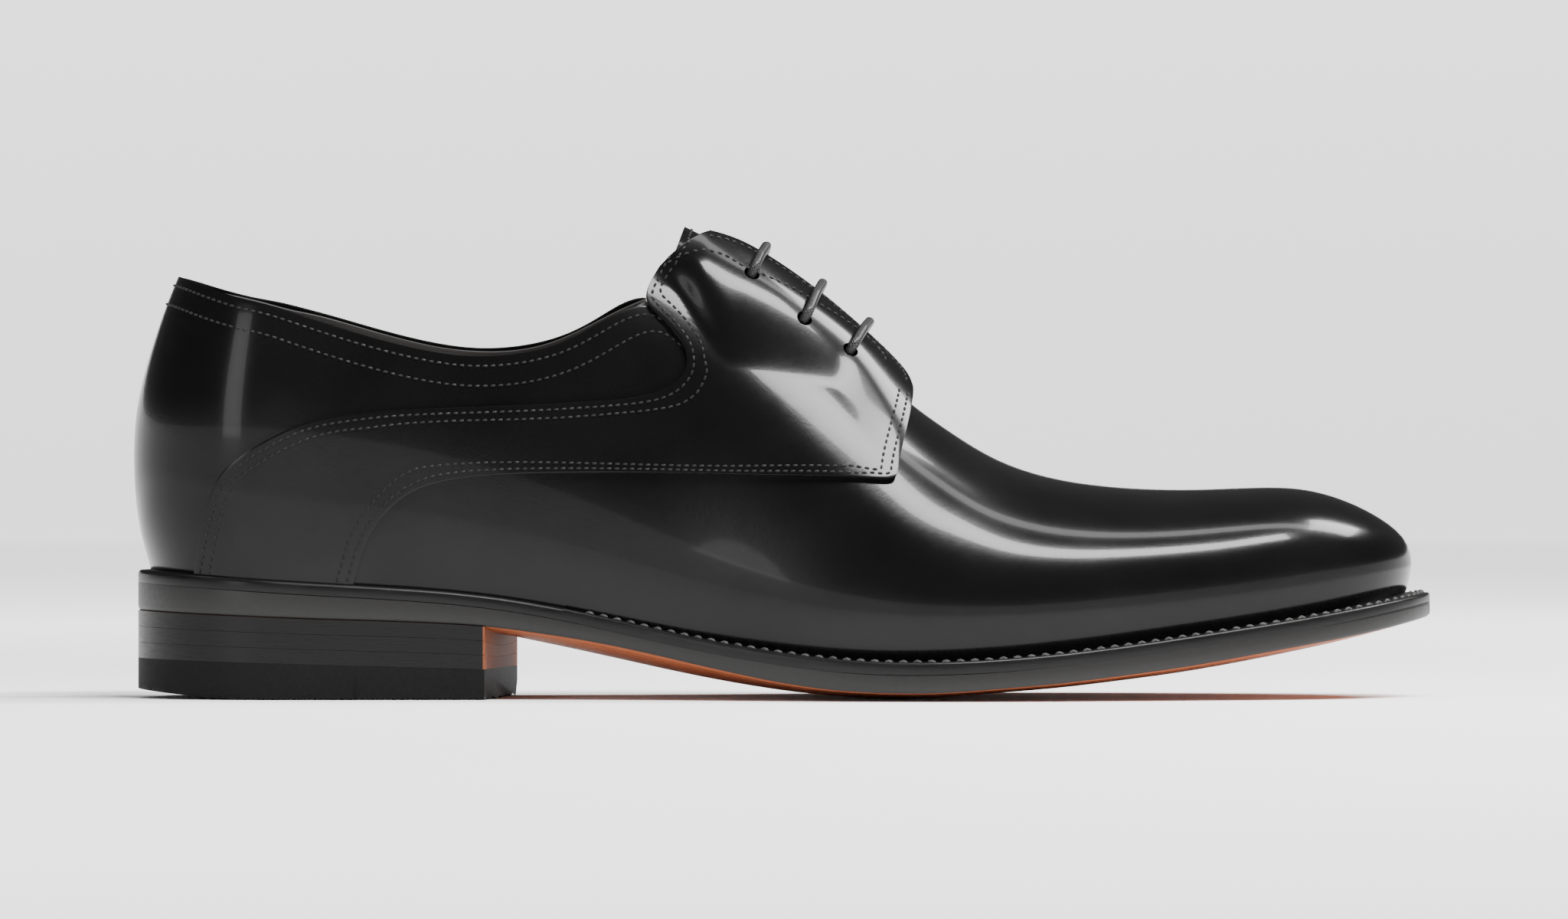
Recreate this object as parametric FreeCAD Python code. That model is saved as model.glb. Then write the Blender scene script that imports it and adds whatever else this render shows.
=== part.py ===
"""A right-foot men's dress shoe with open lacing and a stitched welt, in millimetres.

+X points to the toe, +Y to the inner (medial) side of the foot, +Z up. The origin is on the ground,
below the middle of the shoe. Every leather piece of the upper is a sheet drawn over one form, the
last, at its own depth; every bottom piece is a slab cut to an outline that follows the same form.
"""
import FreeCAD, Part
import math
import os

V = FreeCAD.Vector
LATERAL, MEDIAL = -1, 1

# ---- overall size: the last is drawn for the sizes divided by here, and stretched to these ----
SHOE_LENGTH, SHOE_WIDTH, SHOE_HEIGHT = 304.6, 107.0, 112.0
LONG, WIDE, TALL = SHOE_LENGTH / 304.6, SHOE_WIDTH / 107.0, SHOE_HEIGHT / 112.0

# ---- leather, rubber, metal and thread ----
UPPER_THICK = 1.4          # vamp, quarters, back panel and tongue
LINING_THICK = 1.0
STIFFENER_THICK = 1.1      # toe puff and heel stiffener, between upper and lining
GLUE = 0.15                # clearance between two glued layers
FACING_LIFT = 4.4          # how far the facings stand off the tongue, which makes room for the lace
TONGUE_DIP = 3.1           # how far the tongue's sides run inside the quarters
WELT_THICK = 3.0
WELT_UNDER = 6.5           # how far the welt reaches in under the upper
RIB_THICK = 1.5
INSOLE_THICK = 3.2
SOCK_THICK = 0.9
SHANK_LENGTH, SHANK_WIDTH, SHANK_THICK = 100.0, 13.0, 1.3
TOP_PIECE_THICK = 7.0      # rubber, at the heel breast
LIFTS = 3
LACE_R = 1.2
HOLE_R = 1.9               # eyelet hole in the quarter
EYELET_R, EYELET_WALL, FLANGE_R, FLANGE_GAP = 1.9, 0.35, 3.0, 0.7
AGLET_LENGTH, AGLET_WALL = 9.0, 0.25
NAIL_R, PIN_R, NAIL_PLAY = 0.8, 0.9, 0.05
STITCH_PITCH, STITCH_LENGTH, STITCH_R = 3.4, 2.3, 0.45

# ---- places along the shoe ----
HEEL_CENTRE_X = -118.0 * LONG    # middle of the round of the heel
TOE_CENTRE_X = 72.0 * LONG       # middle of the round of the toe
TOE_ROUND_X, TOE_TIP_X = 100.0 * LONG, 147.2 * LONG
ROUND = 30.0                     # stations from each centre on to the end of the shoe
BREAST_X, BREAST_SKEW = -67.0 * LONG, 6.0
CORNER_CUT = 9.0                 # off the top piece's inner front corner
HEEL_BEVEL_X, HEEL_BEVEL = -122.0 * LONG, 2.2
WELT_END_X = -52.0 * LONG        # where the welt ends and the plain heel rand begins
THROAT_X = 19.5 * LONG           # the vamp's edge on the ridge, where the tongue begins
EYELETS = [(12.5, 20.5), (2.0, 19.0), (-10.2, 14.5)]    # station and tilt


class Spline:
    """A natural cubic through (x, value) pairs, straight beyond its ends."""

    def __init__(self, pairs, stretch_x=1.0, stretch=1.0):
        self.x = [p[0] * stretch_x for p in pairs]
        self.y = [p[1] * stretch for p in pairs]
        n = len(pairs)
        self.bend, share = [0.0] * n, [0.0] * n
        for i in range(1, n - 1):
            left, right = self.x[i] - self.x[i - 1], self.x[i + 1] - self.x[i]
            kink = (self.y[i + 1] - self.y[i]) / right - (self.y[i] - self.y[i - 1]) / left
            pivot = 2 * (left + right) - left * share[i - 1]
            share[i] = right / pivot
            self.bend[i] = (6 * kink - left * self.bend[i - 1]) / pivot
        for i in range(n - 2, 0, -1):
            self.bend[i] -= share[i] * self.bend[i + 1]

    def __call__(self, x):
        i = 0
        while i < len(self.x) - 2 and x > self.x[i + 1]:
            i += 1
        h = self.x[i + 1] - self.x[i]
        b = (x - self.x[i]) / h
        a, b_in = 1 - b, min(1.0, max(0.0, b))
        a_in = 1 - b_in
        curve = (a_in ** 3 - a_in) * self.bend[i] + (b_in ** 3 - b_in) * self.bend[i + 1]
        curve += (b - b_in) * (self.bend[i] + 2 * self.bend[i + 1] if b > 1 else 0)
        curve += (a - a_in) * (2 * self.bend[i] + self.bend[i + 1] if a > 1 else 0)
        return a * self.y[i] + b * self.y[i + 1] + curve * h * h / 6


class Path:
    """A smooth curve through points, over 0 to 1, the same share for each step between points."""

    def __init__(self, points):
        self.axes = [Spline(list(enumerate(p[k] for p in points))) for k in range(3)]
        self.steps = len(points) - 1

    def __call__(self, t):
        return V(*(axis(t * self.steps) for axis in self.axes))


def smooth(x, start, end):
    t = min(1.0, max(0.0, (x - start) / (end - start)))
    return t * t * (3 - 2 * t)


# ---- the last: lines of the side view, then widths ----
welt_top = Spline([(-153, 30.4), (-110, 27.3), (-69, 24.2), (-48, 20.6), (-28, 16.2), (0, 11.2),
                   (18, 9.4), (36, 9.2), (58, 10.6), (91, 14.8), (128, 20.9), (152, 26.0)], LONG, TALL)
ridge = Spline([(-150, 124), (-110, 127), (-70, 124), (-40, 117), (-24, 110.6), (-13, 104.6),
                (-3, 97.8), (7, 89.6), (18, 79.4), (27.6, 70.4), (38, 62.7), (48, 56.6), (59, 52.4),
                (75, 49.6), (96, 48.8), (112, 49.5), (121, 49.9), (130, 49.3), (147, 46)], LONG, TALL)
heel_back = Spline([(20, -147.5), (30.6, -149.6), (37, -151.4), (46, -152.9), (55, -153.4),
                    (66, -152.9), (79, -150.1), (87.5, -147.4), (93, -145.4), (99, -142.9),
                    (112, -137)], TALL, LONG)
widest_rise = Spline([(-153, 24), (-100, 21), (-50, 16), (0, 12), (50, 10), (100, 7.5), (147, 6)],
                     LONG, TALL)
root_rise = Spline([(-153, 25), (-60, 22), (0, 16), (60, 12), (147, 9)], LONG, TALL)
centre_y = Spline([(-153, 0), (-60, 0), (0, 1), (30, 2), (60, 4), (100, 6), (147, 7)], LONG, WIDE)
lateral_width = Spline([(-153, 31), (-110, 31.2), (-80, 30.7), (-50, 31.8), (-25, 36.9), (0, 44.4),
                        (25, 50.6), (45, 52.4), (65, 50.6), (85, 46.4), (105, 41.5), (147, 31)],
                       LONG, WIDE)
medial_width = Spline([(-153, 31), (-110, 31.2), (-80, 29.8), (-50, 27.3), (-25, 28.6), (0, 34.4),
                       (25, 41.6), (50, 44.9), (70, 43.2), (90, 39.0), (105, 35.2), (147, 28)],
                      LONG, WIDE)
fullness = Spline([(-150, 2.3), (-110, 2.3), (-70, 2.1), (-30, 1.9), (0, 1.85), (28, 2.0), (60, 2.3),
                   (100, 2.7), (147, 2.7)], LONG)
top_line = Spline([(-148, 98.8), (-139, 98.2), (-125, 93.6), (-110, 88.4), (-96, 84.1), (-81, 80.7),
                   (-70, 79.8), (-60, 81.0), (-52, 83.3), (-45, 86.9), (-34, 92.6)], LONG, TALL)
HEEL_ROUND, TOE_ROUND = 2.2, 2.7
FOOT_TUCK = 0.08           # how much the walls draw in at the welt
SIDE_BLEND = 12.0          # how softly the inner and outer widths meet on the ridge
MEDIAL_RISE = 2.5          # the top line is this much higher on the inner side


def beyond(p):
    """Below 0 inside the last, 0 on it and above 0 outside."""
    x, z = p.x, p.z
    base = welt_top(x)
    widest = base + widest_rise(x)
    if z >= widest:
        left = 1 - ((z - widest) / (ridge(x) - widest)) ** fullness(x)
    else:
        left = 1 - FOOT_TUCK * ((widest - z) / (widest - base)) ** 2
    if x < HEEL_CENTRE_X:
        left *= 1 - ((HEEL_CENTRE_X - x) / (HEEL_CENTRE_X - heel_back(z))) ** HEEL_ROUND
    if x > TOE_ROUND_X:
        left -= ((x - TOE_ROUND_X) / (TOE_TIP_X - TOE_ROUND_X)) ** TOE_ROUND
    across = p.y - centre_y(x)
    side = 0.5 + 0.5 * math.tanh(across / SIDE_BLEND)
    width = lateral_width(x) * (1 - side) + medial_width(x) * side
    return (across / width) ** 2 - left


def normal(p):
    step = 0.02
    return V(*(beyond(p + d) - beyond(p - d)
               for d in (V(step, 0, 0), V(0, step, 0), V(0, 0, step)))).normalize()


def cast(start, way, halvings=22):
    """Where a ray from inside the last meets its surface."""
    near, far = 0.0, 8.0
    while beyond(start + way * far) < 0 and far < 300:
        near, far = far, far + 8.0
    for _ in range(halvings):
        middle = (near + far) / 2
        if beyond(start + way * middle) < 0:
            near = middle
        else:
            far = middle
    return start + way * near


# ---- places on the last, each with the root point its rays start from ----
# A station is x along the sides. Behind HEEL_CENTRE_X and ahead of TOE_CENTRE_X it turns instead,
# and reaches the shoe's centre line after ROUND more.
def root(x):
    return V(x, centre_y(x), welt_top(x) + root_rise(x))


def heading(station, side):
    if station < HEEL_CENTRE_X:
        turn = (HEEL_CENTRE_X - station) / ROUND * math.pi / 2
        return root(HEEL_CENTRE_X), V(-math.sin(turn), side * math.cos(turn), 0)
    if station > TOE_CENTRE_X:
        turn = (station - TOE_CENTRE_X) / ROUND * math.pi / 2
        return root(TOE_CENTRE_X), V(math.sin(turn), side * math.cos(turn), 0)
    return root(station), V(0, side, 0)


def level(station, z, side):
    """A place at a height."""
    start, way = heading(station, side)
    return start, cast(V(start.x, start.y, z), way)


def foot(station, side, sink=1.5):
    """A place where the upper meets the welt, or sink mm below there."""
    start, way = heading(station, side)
    z = welt_top(start.x) - sink
    for _ in range(4):
        p = cast(V(start.x, start.y, z), way)
        z = welt_top(p.x) - sink
    return start, cast(V(start.x, start.y, z), way)


def arch(station, tilt, side):
    """A place at an angle from straight up, in degrees."""
    start, way = heading(station, side)
    tilt = math.radians(tilt)
    return start, cast(start, way * math.sin(tilt) + V(0, 0, math.cos(tilt)))


def tilt_at(p):
    start = root(min(max(p.x, HEEL_CENTRE_X), TOE_CENTRE_X))
    return math.degrees(math.atan2(math.hypot(p.x - start.x, p.y - start.y), p.z - start.z))


# ---- sheets ----
def rib(start, low, high, steps):
    """Evenly spaced places of the last along the fan of rays from low to high."""
    a, b = (low - start).normalize(), (high - start).normalize()
    angle, fine = a.getAngle(b), 20

    def ray(t):
        return (a * math.sin((1 - t) * angle) + b * math.sin(t * angle)) * (1 / math.sin(angle))

    rough = [cast(start, ray(i / fine), 12) for i in range(fine + 1)]
    far = [0.0]
    for p, q in zip(rough, rough[1:]):
        far.append(far[-1] + (q - p).Length)
    even, i = [], 0
    for k in range(steps):
        goal = far[-1] * k / (steps - 1)
        while i < fine - 1 and far[i + 1] < goal:
            i += 1
        even.append(cast(start, ray((i + (goal - far[i]) / (far[i + 1] - far[i])) / fine)))
    return even


def strip(low, high, ribs, steps):
    """A grid of places between two edges given at matching stations."""
    start = Path([(a[0] + b[0]) * 0.5 for a, b in zip(low, high)])
    low, high = Path([a[1] for a in low]), Path([b[1] for b in high])
    return [rib(start(i / (ribs - 1)), low(i / (ribs - 1)), high(i / (ribs - 1)), steps)
            for i in range(ribs)]


def both_sides(edge):
    """An edge from the outer side round to the inner one; edge gives one side up to the middle."""
    return edge(LATERAL) + edge(MEDIAL)[-2::-1]


def closed(inner, outer):
    """A solid between two grids of points."""
    faces, ends = [], []
    for grid in (inner, outer):
        skin = Part.BSplineSurface()
        skin.interpolate(grid)
        u0, u1, v0, v1 = skin.bounds()
        faces.append(skin.toShape())
        ends.append([skin.uIso(u0), skin.uIso(u1), skin.vIso(v0), skin.vIso(v1)])
    faces += [Part.makeRuledSurface(a.toShape(), b.toShape()) for a, b in zip(*ends)]
    shell = Part.makeShell(faces)
    shell.sewShape()
    solid = Part.makeSolid(shell.Shells[0])
    if solid.Volume < 0:
        solid.reverse()
    return solid


def sheet(grid, depth, thick):
    """Leather over the last: its outer face is depth(place) outside the last."""
    inner, outer = [], []
    for row in grid:
        ups = [normal(p) for p in row]
        outer.append([p + up * depth(p) for p, up in zip(row, ups)])
        inner.append([p + up * (depth(p) - thick) for p, up in zip(row, ups)])
    return closed(inner, outer)


def on_last(p):
    return 0.0


def facing_lift(p):
    """The facings rise off the last towards the ridge, above the tongue."""
    start = 20 + 13 * smooth(p.x, -28 * LONG, -12 * LONG) + 22 * smooth(p.x, 10 * LONG, 26 * LONG)
    return FACING_LIFT * smooth(tilt_at(p), start, 14) * smooth(p.x, -34 * LONG, -20 * LONG)


def quarter_depth(p):
    return UPPER_THICK + 0.8 * GLUE + facing_lift(p)


def stiffened(p):
    """1 where a toe puff or heel stiffener lies between upper and lining."""
    heel = smooth(p.x, -70 * LONG, -83 * LONG) * smooth(p.z, 90 * TALL, 74 * TALL)
    return max(heel, smooth(p.x, 76 * LONG, 87 * LONG))


def lining_depth(p):
    return -UPPER_THICK - GLUE - (STIFFENER_THICK + GLUE) * stiffened(p)


def facing_lining_depth(p):
    """The lining rises off the tongue until it meets the facings."""
    return lining_depth(p) + (1 + (UPPER_THICK + GLUE) / FACING_LIFT) * facing_lift(p)


def tongue_depth(p):
    return -TONGUE_DIP * smooth(tilt_at(p), 8, 20)


# ---- edges of the leather pieces, one side of the shoe each, as station and height ----
def top_edge(station, side, drop=0.0):
    rise = MEDIAL_RISE * smooth(station, -145 * LONG, -100 * LONG) if side == MEDIAL else 0
    return level(station, top_line(station) + rise - drop, side)


def vamp_foot(side):
    return [foot(s * LONG, side) for s in (-109, -86, -63, -40, -17, 6, 29, 50, 68, 78)] + \
           [foot(TOE_CENTRE_X + share * ROUND, side) for share in (0.42, 0.62, 0.81, 1.0)]


def vamp_edge(side):
    walls = [(-97.5, 47), (-87, 53.6), (-72, 57), (-55, 58), (-38, 58.2), (-21, 58.1), (-5, 58.6),
             (6, 61), (13, 65.6), (17.2, 71.6)]
    return [level(s * LONG, z * TALL, side) for s, z in walls] + \
           [arch(THROAT_X, tilt, side) for tilt in (14, 8, 4, 0)]


def quarter_low(side):
    walls = [(-97.6, 36.5), (-92.5, 44), (-84, 49.6), (-68, 52.2), (-46, 52.8), (-24, 52.6),
             (-4, 52), (14, 51.4), (24.0, 50.9), (25.6, 54.5), (26.6, 62.5), (26.3, 68)]
    ridge_side = [(25.4, 17), (22.3, 9), (15, 6.8), (6, 6.8), (-3, 7.0), (-12, 7.0), (-20, 8.4)]
    return [foot(-101 * LONG, side)] + [level(s * LONG, z * TALL, side) for s, z in walls] + \
           [arch(s * LONG, tilt, side) for s, tilt in ridge_side]


def quarter_high(side):
    walls = [(-128, 45), (-125.4, 53.5), (-119.5, 60.5), (-109, 65), (-93, 67), (-77, 67.7),
             (-61, 68.3), (-48, 68.9), (-39, 69.5), (-32, 70.6), (-27, 72.5), (-24, 75.4),
             (-23.2, 78.5), (-24, 81.8), (-26, 84.8), (-28.6, 87.8), (-31.5, 90.6), (-32.8, 94),
             (-30, 99.8)]
    return [foot(-131 * LONG, side)] + [level(s * LONG, z * TALL, side) for s, z in walls]


def back_panel_low(side):
    walls = [(-19, 81), (-20, 74), (-28, 67.4), (-42, 63.4), (-60, 62.4), (-79, 61.6), (-96, 60),
             (-108, 56.5), (-116, 50.5), (-121, 42.5), (-123.5, 34)]
    return [level(s * LONG, z * TALL, side) for s, z in walls] + \
           [foot(s * LONG, side) for s in (-128, -136, -142)] + \
           [foot(HEEL_CENTRE_X - ROUND, side)]


def back_panel_high(side):
    walls = [level(-24.5 * LONG, 86.5 * TALL, side), top_edge(-33 * LONG, side, 1.5)]
    return walls + [top_edge(s * LONG, side)
                    for s in (-44, -54, -65, -76, -87, -98, -109, -118, -124, -130, -136, -142)] + \
        [top_edge(HEEL_CENTRE_X - ROUND, side)]


def lining_low(side):
    walls = [(15.6, 74), (13, 68.9), (7, 63.8), (-4, 60.2), (-18, 59.6), (-36, 59.7), (-54, 59.6),
             (-72, 58.6), (-87, 55.4), (-97.5, 49)]
    return [level(s * LONG, z * TALL, side) for s, z in walls] + \
           [foot(s * LONG, side) for s in (-112, -120, -128, -136, -142)] + \
           [foot(HEEL_CENTRE_X - ROUND, side)]


def lining_high(side):
    facing = [(16.5, 7.5), (9, 7.5), (-1, 7.8), (-10, 8.6), (-17, 10.6)]
    return [arch(s * LONG, tilt, side) for s, tilt in facing] + \
           [level(-29.5 * LONG, 96 * TALL, side)] + \
           [top_edge(s * LONG, side, 0.5) for s in (-41, -55, -70, -85, -100, -112, -121, -130, -139)] + \
           [top_edge(HEEL_CENTRE_X - ROUND, side, 0.5)]


def stiffener_low(side):
    return [foot(s * LONG, side) for s in (-84, -93, -102, -111, -119, -127, -135, -142)] + \
           [foot(HEEL_CENTRE_X - ROUND, side)]


def stiffener_high(side):
    walls = [(-85, 40), (-91, 56), (-101, 64), (-111, 67), (-119, 68.5), (-127, 69.5), (-135, 70.5),
             (-142, 71)]
    return [level(s * LONG, z * TALL, side) for s, z in walls] + \
           [level(HEEL_CENTRE_X - ROUND, 71 * TALL, side)]


def puff_low(side):
    return [foot(TOE_CENTRE_X + share * ROUND, side)
            for share in (0.475, 0.54, 0.61, 0.69, 0.77, 0.85, 0.92, 1.0)]


def puff_high(side):
    walls = [level((TOE_CENTRE_X + share * ROUND), z * TALL, side)
             for share, z in ((0.5, 27), (0.53, 33))]
    return walls + [arch(TOE_CENTRE_X + share * ROUND, tilt, side)
                    for share, tilt in ((0.56, 62), (0.62, 58.5), (0.7, 55.5), (0.79, 53.8),
                                        (0.89, 53), (1.0, 52.8))]


def tongue_grid(inset):
    """The tongue's places, from its fold back to its free edge and across from side to side."""
    half = Spline([(0, 9.5), (0.18, 17), (0.4, 23), (0.7, 26.5), (1, 26)])
    front, grid = THROAT_X - 2.0 - inset, []
    for i in range(25):
        u, row = i / 24, []
        for j in range(25):
            tilt = (half(u) - inset * 1.2) * (j - 12) / 12
            back = (-24 - 9.4 * (tilt / 24) ** 2) * LONG + 0.6 * inset
            row.append(arch(front + (back - front) * u, tilt, MEDIAL)[1])
        grid.append(row)
    return grid


# ---- slabs of the bottom ----
sole_line = Spline([(-153, 20.6), (-110, 18.2), (-80, 16.6), (-67, 14.9), (-60, 13.5), (-45, 10.3),
                    (-24, 5.7), (-9, 2.9), (5, 1.0), (19.5, 0.1), (27, 0), (34, 0.1), (48, 1.0),
                    (63, 2.2), (77, 3.8), (92, 5.8), (106, 8.2), (120, 11.0), (135, 14.5),
                    (152, 19.4)], LONG, TALL)
crown = Spline([(-153, 0.2), (-110, 0.5), (-75, 1.2), (-50, 2.4), (-25, 2.4), (5, 1.6), (40, 1.4),
                (110, 1.4), (152, 0.6)], LONG)
welt_reach = Spline([(-153, 2.9), (-110, 3.0), (-60, 2.6), (-30, 3.4), (0, 4.9), (30, 5.6),
                     (100, 5.6), (152, 5.8)], LONG)


def edge_points(out):
    """Points round the bottom, out mm outside the upper's foot; out may be a function of x."""
    stations = [HEEL_CENTRE_X - ROUND * share for share in (0.98, 0.82, 0.66, 0.5, 0.34, 0.17)]
    stations += [(-118 + 9.5 * k) * LONG for k in range(20)]
    stations += [TOE_CENTRE_X + ROUND * share
                 for share in (0.1, 0.2, 0.3, 0.4, 0.5, 0.6, 0.7, 0.79, 0.87, 0.94)]
    ring = [foot(s, LATERAL, 0)[1] for s in stations] + [foot(TOE_CENTRE_X + ROUND, MEDIAL, 0)[1]]
    ring += [foot(s, MEDIAL, 0)[1] for s in reversed(stations)]
    points = []
    for i, p in enumerate(ring):
        run = ring[(i + 1) % len(ring)] - ring[i - 1]
        away = V(run.y, -run.x, 0).normalize()
        reach = out(p.x) if callable(out) else out
        points.append(V(p.x, p.y, 0) + away * reach)
    return points


def outline(out):
    """The bottom's outline as a tall prism."""
    ring = Part.BSplineCurve()
    ring.interpolate(Points=[p - V(0, 0, 20) for p in edge_points(out)], PeriodicFlag=True)
    return Part.Face(Part.Wire(ring.toShape())).extrude(V(0, 0, 200 * TALL))


def slab(low, high, start=-162, end=158):
    """A block between two heights, given as functions of x and y."""
    grids = []
    for height in (low, high):
        grids.append([[V(x, y, height(x, y)) for y in [10 * k * WIDE for k in range(-7, 8)]]
                      for x in [(start + (end - start) * k / 56) * LONG for k in range(57)]])
    return closed(*grids)


def plank(starts, ends, low, high):
    """A slab built of straight rows between two lists of points."""
    grids = []
    for height in (low, high):
        rows = [[a + (b - a) * (k / 8) for k in range(9)] for a, b in zip(starts, ends)]
        grids.append([[V(p.x, p.y, height(p.x, p.y)) for p in row] for row in rows])
    return closed(*grids)


def sole_bottom(x, y):
    across = (y - centre_y(x)) / (0.5 * (lateral_width(x) + medial_width(x)))
    return sole_line(x) + crown(x) * min(across * across, 1.5)


def over_welt(rise):
    return lambda x, y: welt_top(x) + rise


def side_of_breast(ahead):
    """Everything ahead of, or behind, the heel breast."""
    half, far = BREAST_SKEW / 2, 400
    mid = BREAST_X
    a, b = V(mid - half * 2, -60 * WIDE, -20), V(mid + half * 2, 60 * WIDE, -20)
    way = V(far if ahead else -far, 0, 0)
    return Part.Face(Part.makePolygon([a, b, b + way, a + way, a])).extrude(V(0, 0, 300))


def top_piece_top(x, y):
    return (TOP_PIECE_THICK + 2.4 * (BREAST_X - x) / (85 * LONG)) * TALL


def ground(x, y):
    """The top piece's underside: worn off at the back, and ending on a flat at 0."""
    back = (HEEL_BEVEL_X - x) / (30 * LONG)
    return HEEL_BEVEL * back ** 1.5 if back > 0 else 1.2 * back


def lift_face(k, x, y):
    """The height of the joint below lift k, counted down from the sole."""
    share = k / LIFTS
    return sole_bottom(x, y) * (1 - share) + top_piece_top(x, y) * share


def seat_places(inset, pitch):
    """Places for nails, a row round the heel seat inside its edge."""
    ring = [p for p in edge_points(-inset) if p.x < BREAST_X - inset]
    ring.sort(key=lambda p: math.atan2(p.y, p.x - HEEL_CENTRE_X) % (2 * math.pi))
    keep = [ring[0]]
    for p in ring[1:]:
        if (p - keep[-1]).Length > pitch:
            keep.append(p)
    return keep


def build_bottom():
    parts, joint = {}, 0.03
    edge = outline(welt_reach)
    rear, fore = side_of_breast(False), side_of_breast(True)
    sole_top = over_welt(-WELT_THICK - joint)
    parts['outsole'] = edge.common(slab(sole_bottom, sole_top))

    lifts = []
    heel = edge.common(rear)
    for k in range(LIFTS):
        low = lambda x, y, k=k: lift_face(k + 1, x, y) + joint
        high = lambda x, y, k=k: lift_face(k, x, y) - joint
        lifts.append(heel.common(slab(low, high, -162, -40)))
    above_ground = Part.makeBox(400, 300, 100, V(-250, -150, 0))
    top_piece = heel.common(slab(ground, top_piece_top, -162, -40)).common(above_ground)
    corner = max(v.Y for v in top_piece.Vertexes)
    front = BREAST_X + BREAST_SKEW / 2
    cut = [V(front + 5, corner - CORNER_CUT * 1.6, -1), V(front + 5, corner + 5, -1),
           V(front - CORNER_CUT, corner + 5, -1)]
    apex = V(front + 1, corner + 1, TOP_PIECE_THICK * 1.3)
    wedge = Part.makeSolid(Part.makeShell([
        Part.Face(Part.makePolygon(loop + loop[:1])) for loop in
        (cut, [cut[0], cut[1], apex], [cut[1], cut[2], apex], [cut[2], cut[0], apex])]))
    if wedge.Volume < 0:
        wedge.reverse()
    top_piece = top_piece.cut(wedge)

    nails, pins = [], []
    for place in seat_places(8.0, 12.0):
        low, high = (TOP_PIECE_THICK + 3.5) * TALL, welt_top(place.x) - WELT_THICK - 2.5
        nails.append(Part.makeCylinder(NAIL_R, high - low, V(place.x, place.y, low)))
        hole = Part.makeCylinder(NAIL_R + NAIL_PLAY, high - low + 2 * NAIL_PLAY,
                                 V(place.x, place.y, low - NAIL_PLAY))
        lifts = [lift.cut(hole) for lift in lifts]
        parts['outsole'] = parts['outsole'].cut(hole)
    for place in seat_places(5.5, 8.0):
        if place.x > BREAST_X - 12 and place.y > 0:
            continue
        low = max(0.0, ground(place.x, place.y)) + 0.6
        pins.append(Part.makeCylinder(PIN_R, 7.6 * TALL, V(place.x, place.y, low)))
        hole = Part.makeCylinder(PIN_R + NAIL_PLAY, 7.6 * TALL + NAIL_PLAY + 3,
                                 V(place.x, place.y, low - 3))
        top_piece = top_piece.cut(hole)
        lifts[-1] = lifts[-1].cut(hole)
    parts['top_piece'] = top_piece
    for k, lift in enumerate(lifts):
        parts['heel_lift_%d' % (k + 1)] = lift
    parts['heel_nails'] = Part.makeCompound(nails)
    parts['top_piece_pins'] = Part.makeCompound(pins)

    ring = edge.cut(outline(-WELT_UNDER)).common(slab(over_welt(-WELT_THICK), over_welt(-joint)))
    split = Part.makeBox(400, 300, 300, V(WELT_END_X, -150, -50))
    parts['welt'] = ring.common(split)
    parts['heel_rand'] = ring.cut(Part.makeBox(400, 300, 300, V(WELT_END_X - 0.1, -150, -50)))

    rib_edge, cork_edge = -WELT_UNDER - 0.2, -WELT_UNDER - 1.8 - RIB_THICK
    parts['insole_rib'] = plank(edge_points(rib_edge), edge_points(rib_edge - RIB_THICK),
                                over_welt(-WELT_THICK), over_welt(-joint))
    shank_box = Part.makeBox(SHANK_LENGTH * LONG, SHANK_WIDTH, 200, V(-95 * LONG, -SHANK_WIDTH / 2, -50))
    pocket_box = Part.makeBox(SHANK_LENGTH * LONG + 0.2, SHANK_WIDTH + 0.2, 200,
                              V(-95 * LONG - 0.1, -SHANK_WIDTH / 2 - 0.1, -50))
    parts['shank'] = shank_box.common(slab(over_welt(-SHANK_THICK - 0.1), over_welt(-0.1)))
    pocket = pocket_box.common(slab(over_welt(-SHANK_THICK - 0.15), over_welt(2)))
    ring = edge_points(cork_edge)
    half = len(ring) // 2
    cork = plank(ring[:half], ring[:half:-1], over_welt(-WELT_THICK), over_welt(-joint))
    parts['cork_filler'] = cork.cut(pocket)

    inside = -(UPPER_THICK + LINING_THICK + STIFFENER_THICK + 3 * GLUE) - 0.35
    parts['insole'] = outline(inside).common(slab(over_welt(0), over_welt(INSOLE_THICK)))
    sock = outline(inside - 0.4).common(slab(over_welt(INSOLE_THICK + 0.05),
                                             over_welt(INSOLE_THICK + 0.05 + SOCK_THICK)))
    front = Part.makeCylinder(75 * LONG, 300, V(-132 * LONG, 0, -50))
    parts['heel_sock'] = sock.common(front)
    return parts


# ---- lacing ----
def rounded(points, radii):
    """A wire of straight runs joined by arcs; one radius for each inner corner."""
    edges, start = [], points[0]
    for i in range(1, len(points) - 1):
        back = (points[i - 1] - points[i]).normalize()
        ahead = (points[i + 1] - points[i]).normalize()
        angle = back.getAngle(ahead)
        trim = radii[i - 1] / math.tan(angle / 2)
        centre = points[i] + (back + ahead).normalize() * (radii[i - 1] / math.sin(angle / 2))
        mid = centre + (points[i] - centre).normalize() * radii[i - 1]
        a, b = points[i] + back * trim, points[i] + ahead * trim
        edges += [Part.makeLine(start, a), Part.Arc(a, mid, b).toShape()]
        start = b
    edges.append(Part.makeLine(start, points[-1]))
    return Part.Wire(edges)


def on_lining(station, tilt, side):
    place = arch(station * LONG, tilt, side)[1]
    return place + normal(place) * facing_lining_depth(place)


def eyelet(k, side):
    """An eyelet's place on the lining's outer face, and the way out, square to the lining."""
    station, tilt = EYELETS[k]
    along = on_lining(station + 1, tilt, side) - on_lining(station - 1, tilt, side)
    across = on_lining(station, tilt + 2, side) - on_lining(station, tilt - 2, side)
    up = along.cross(across).normalize()
    return on_lining(station, tilt, side), up if up.z > 0 else up * -1


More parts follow.
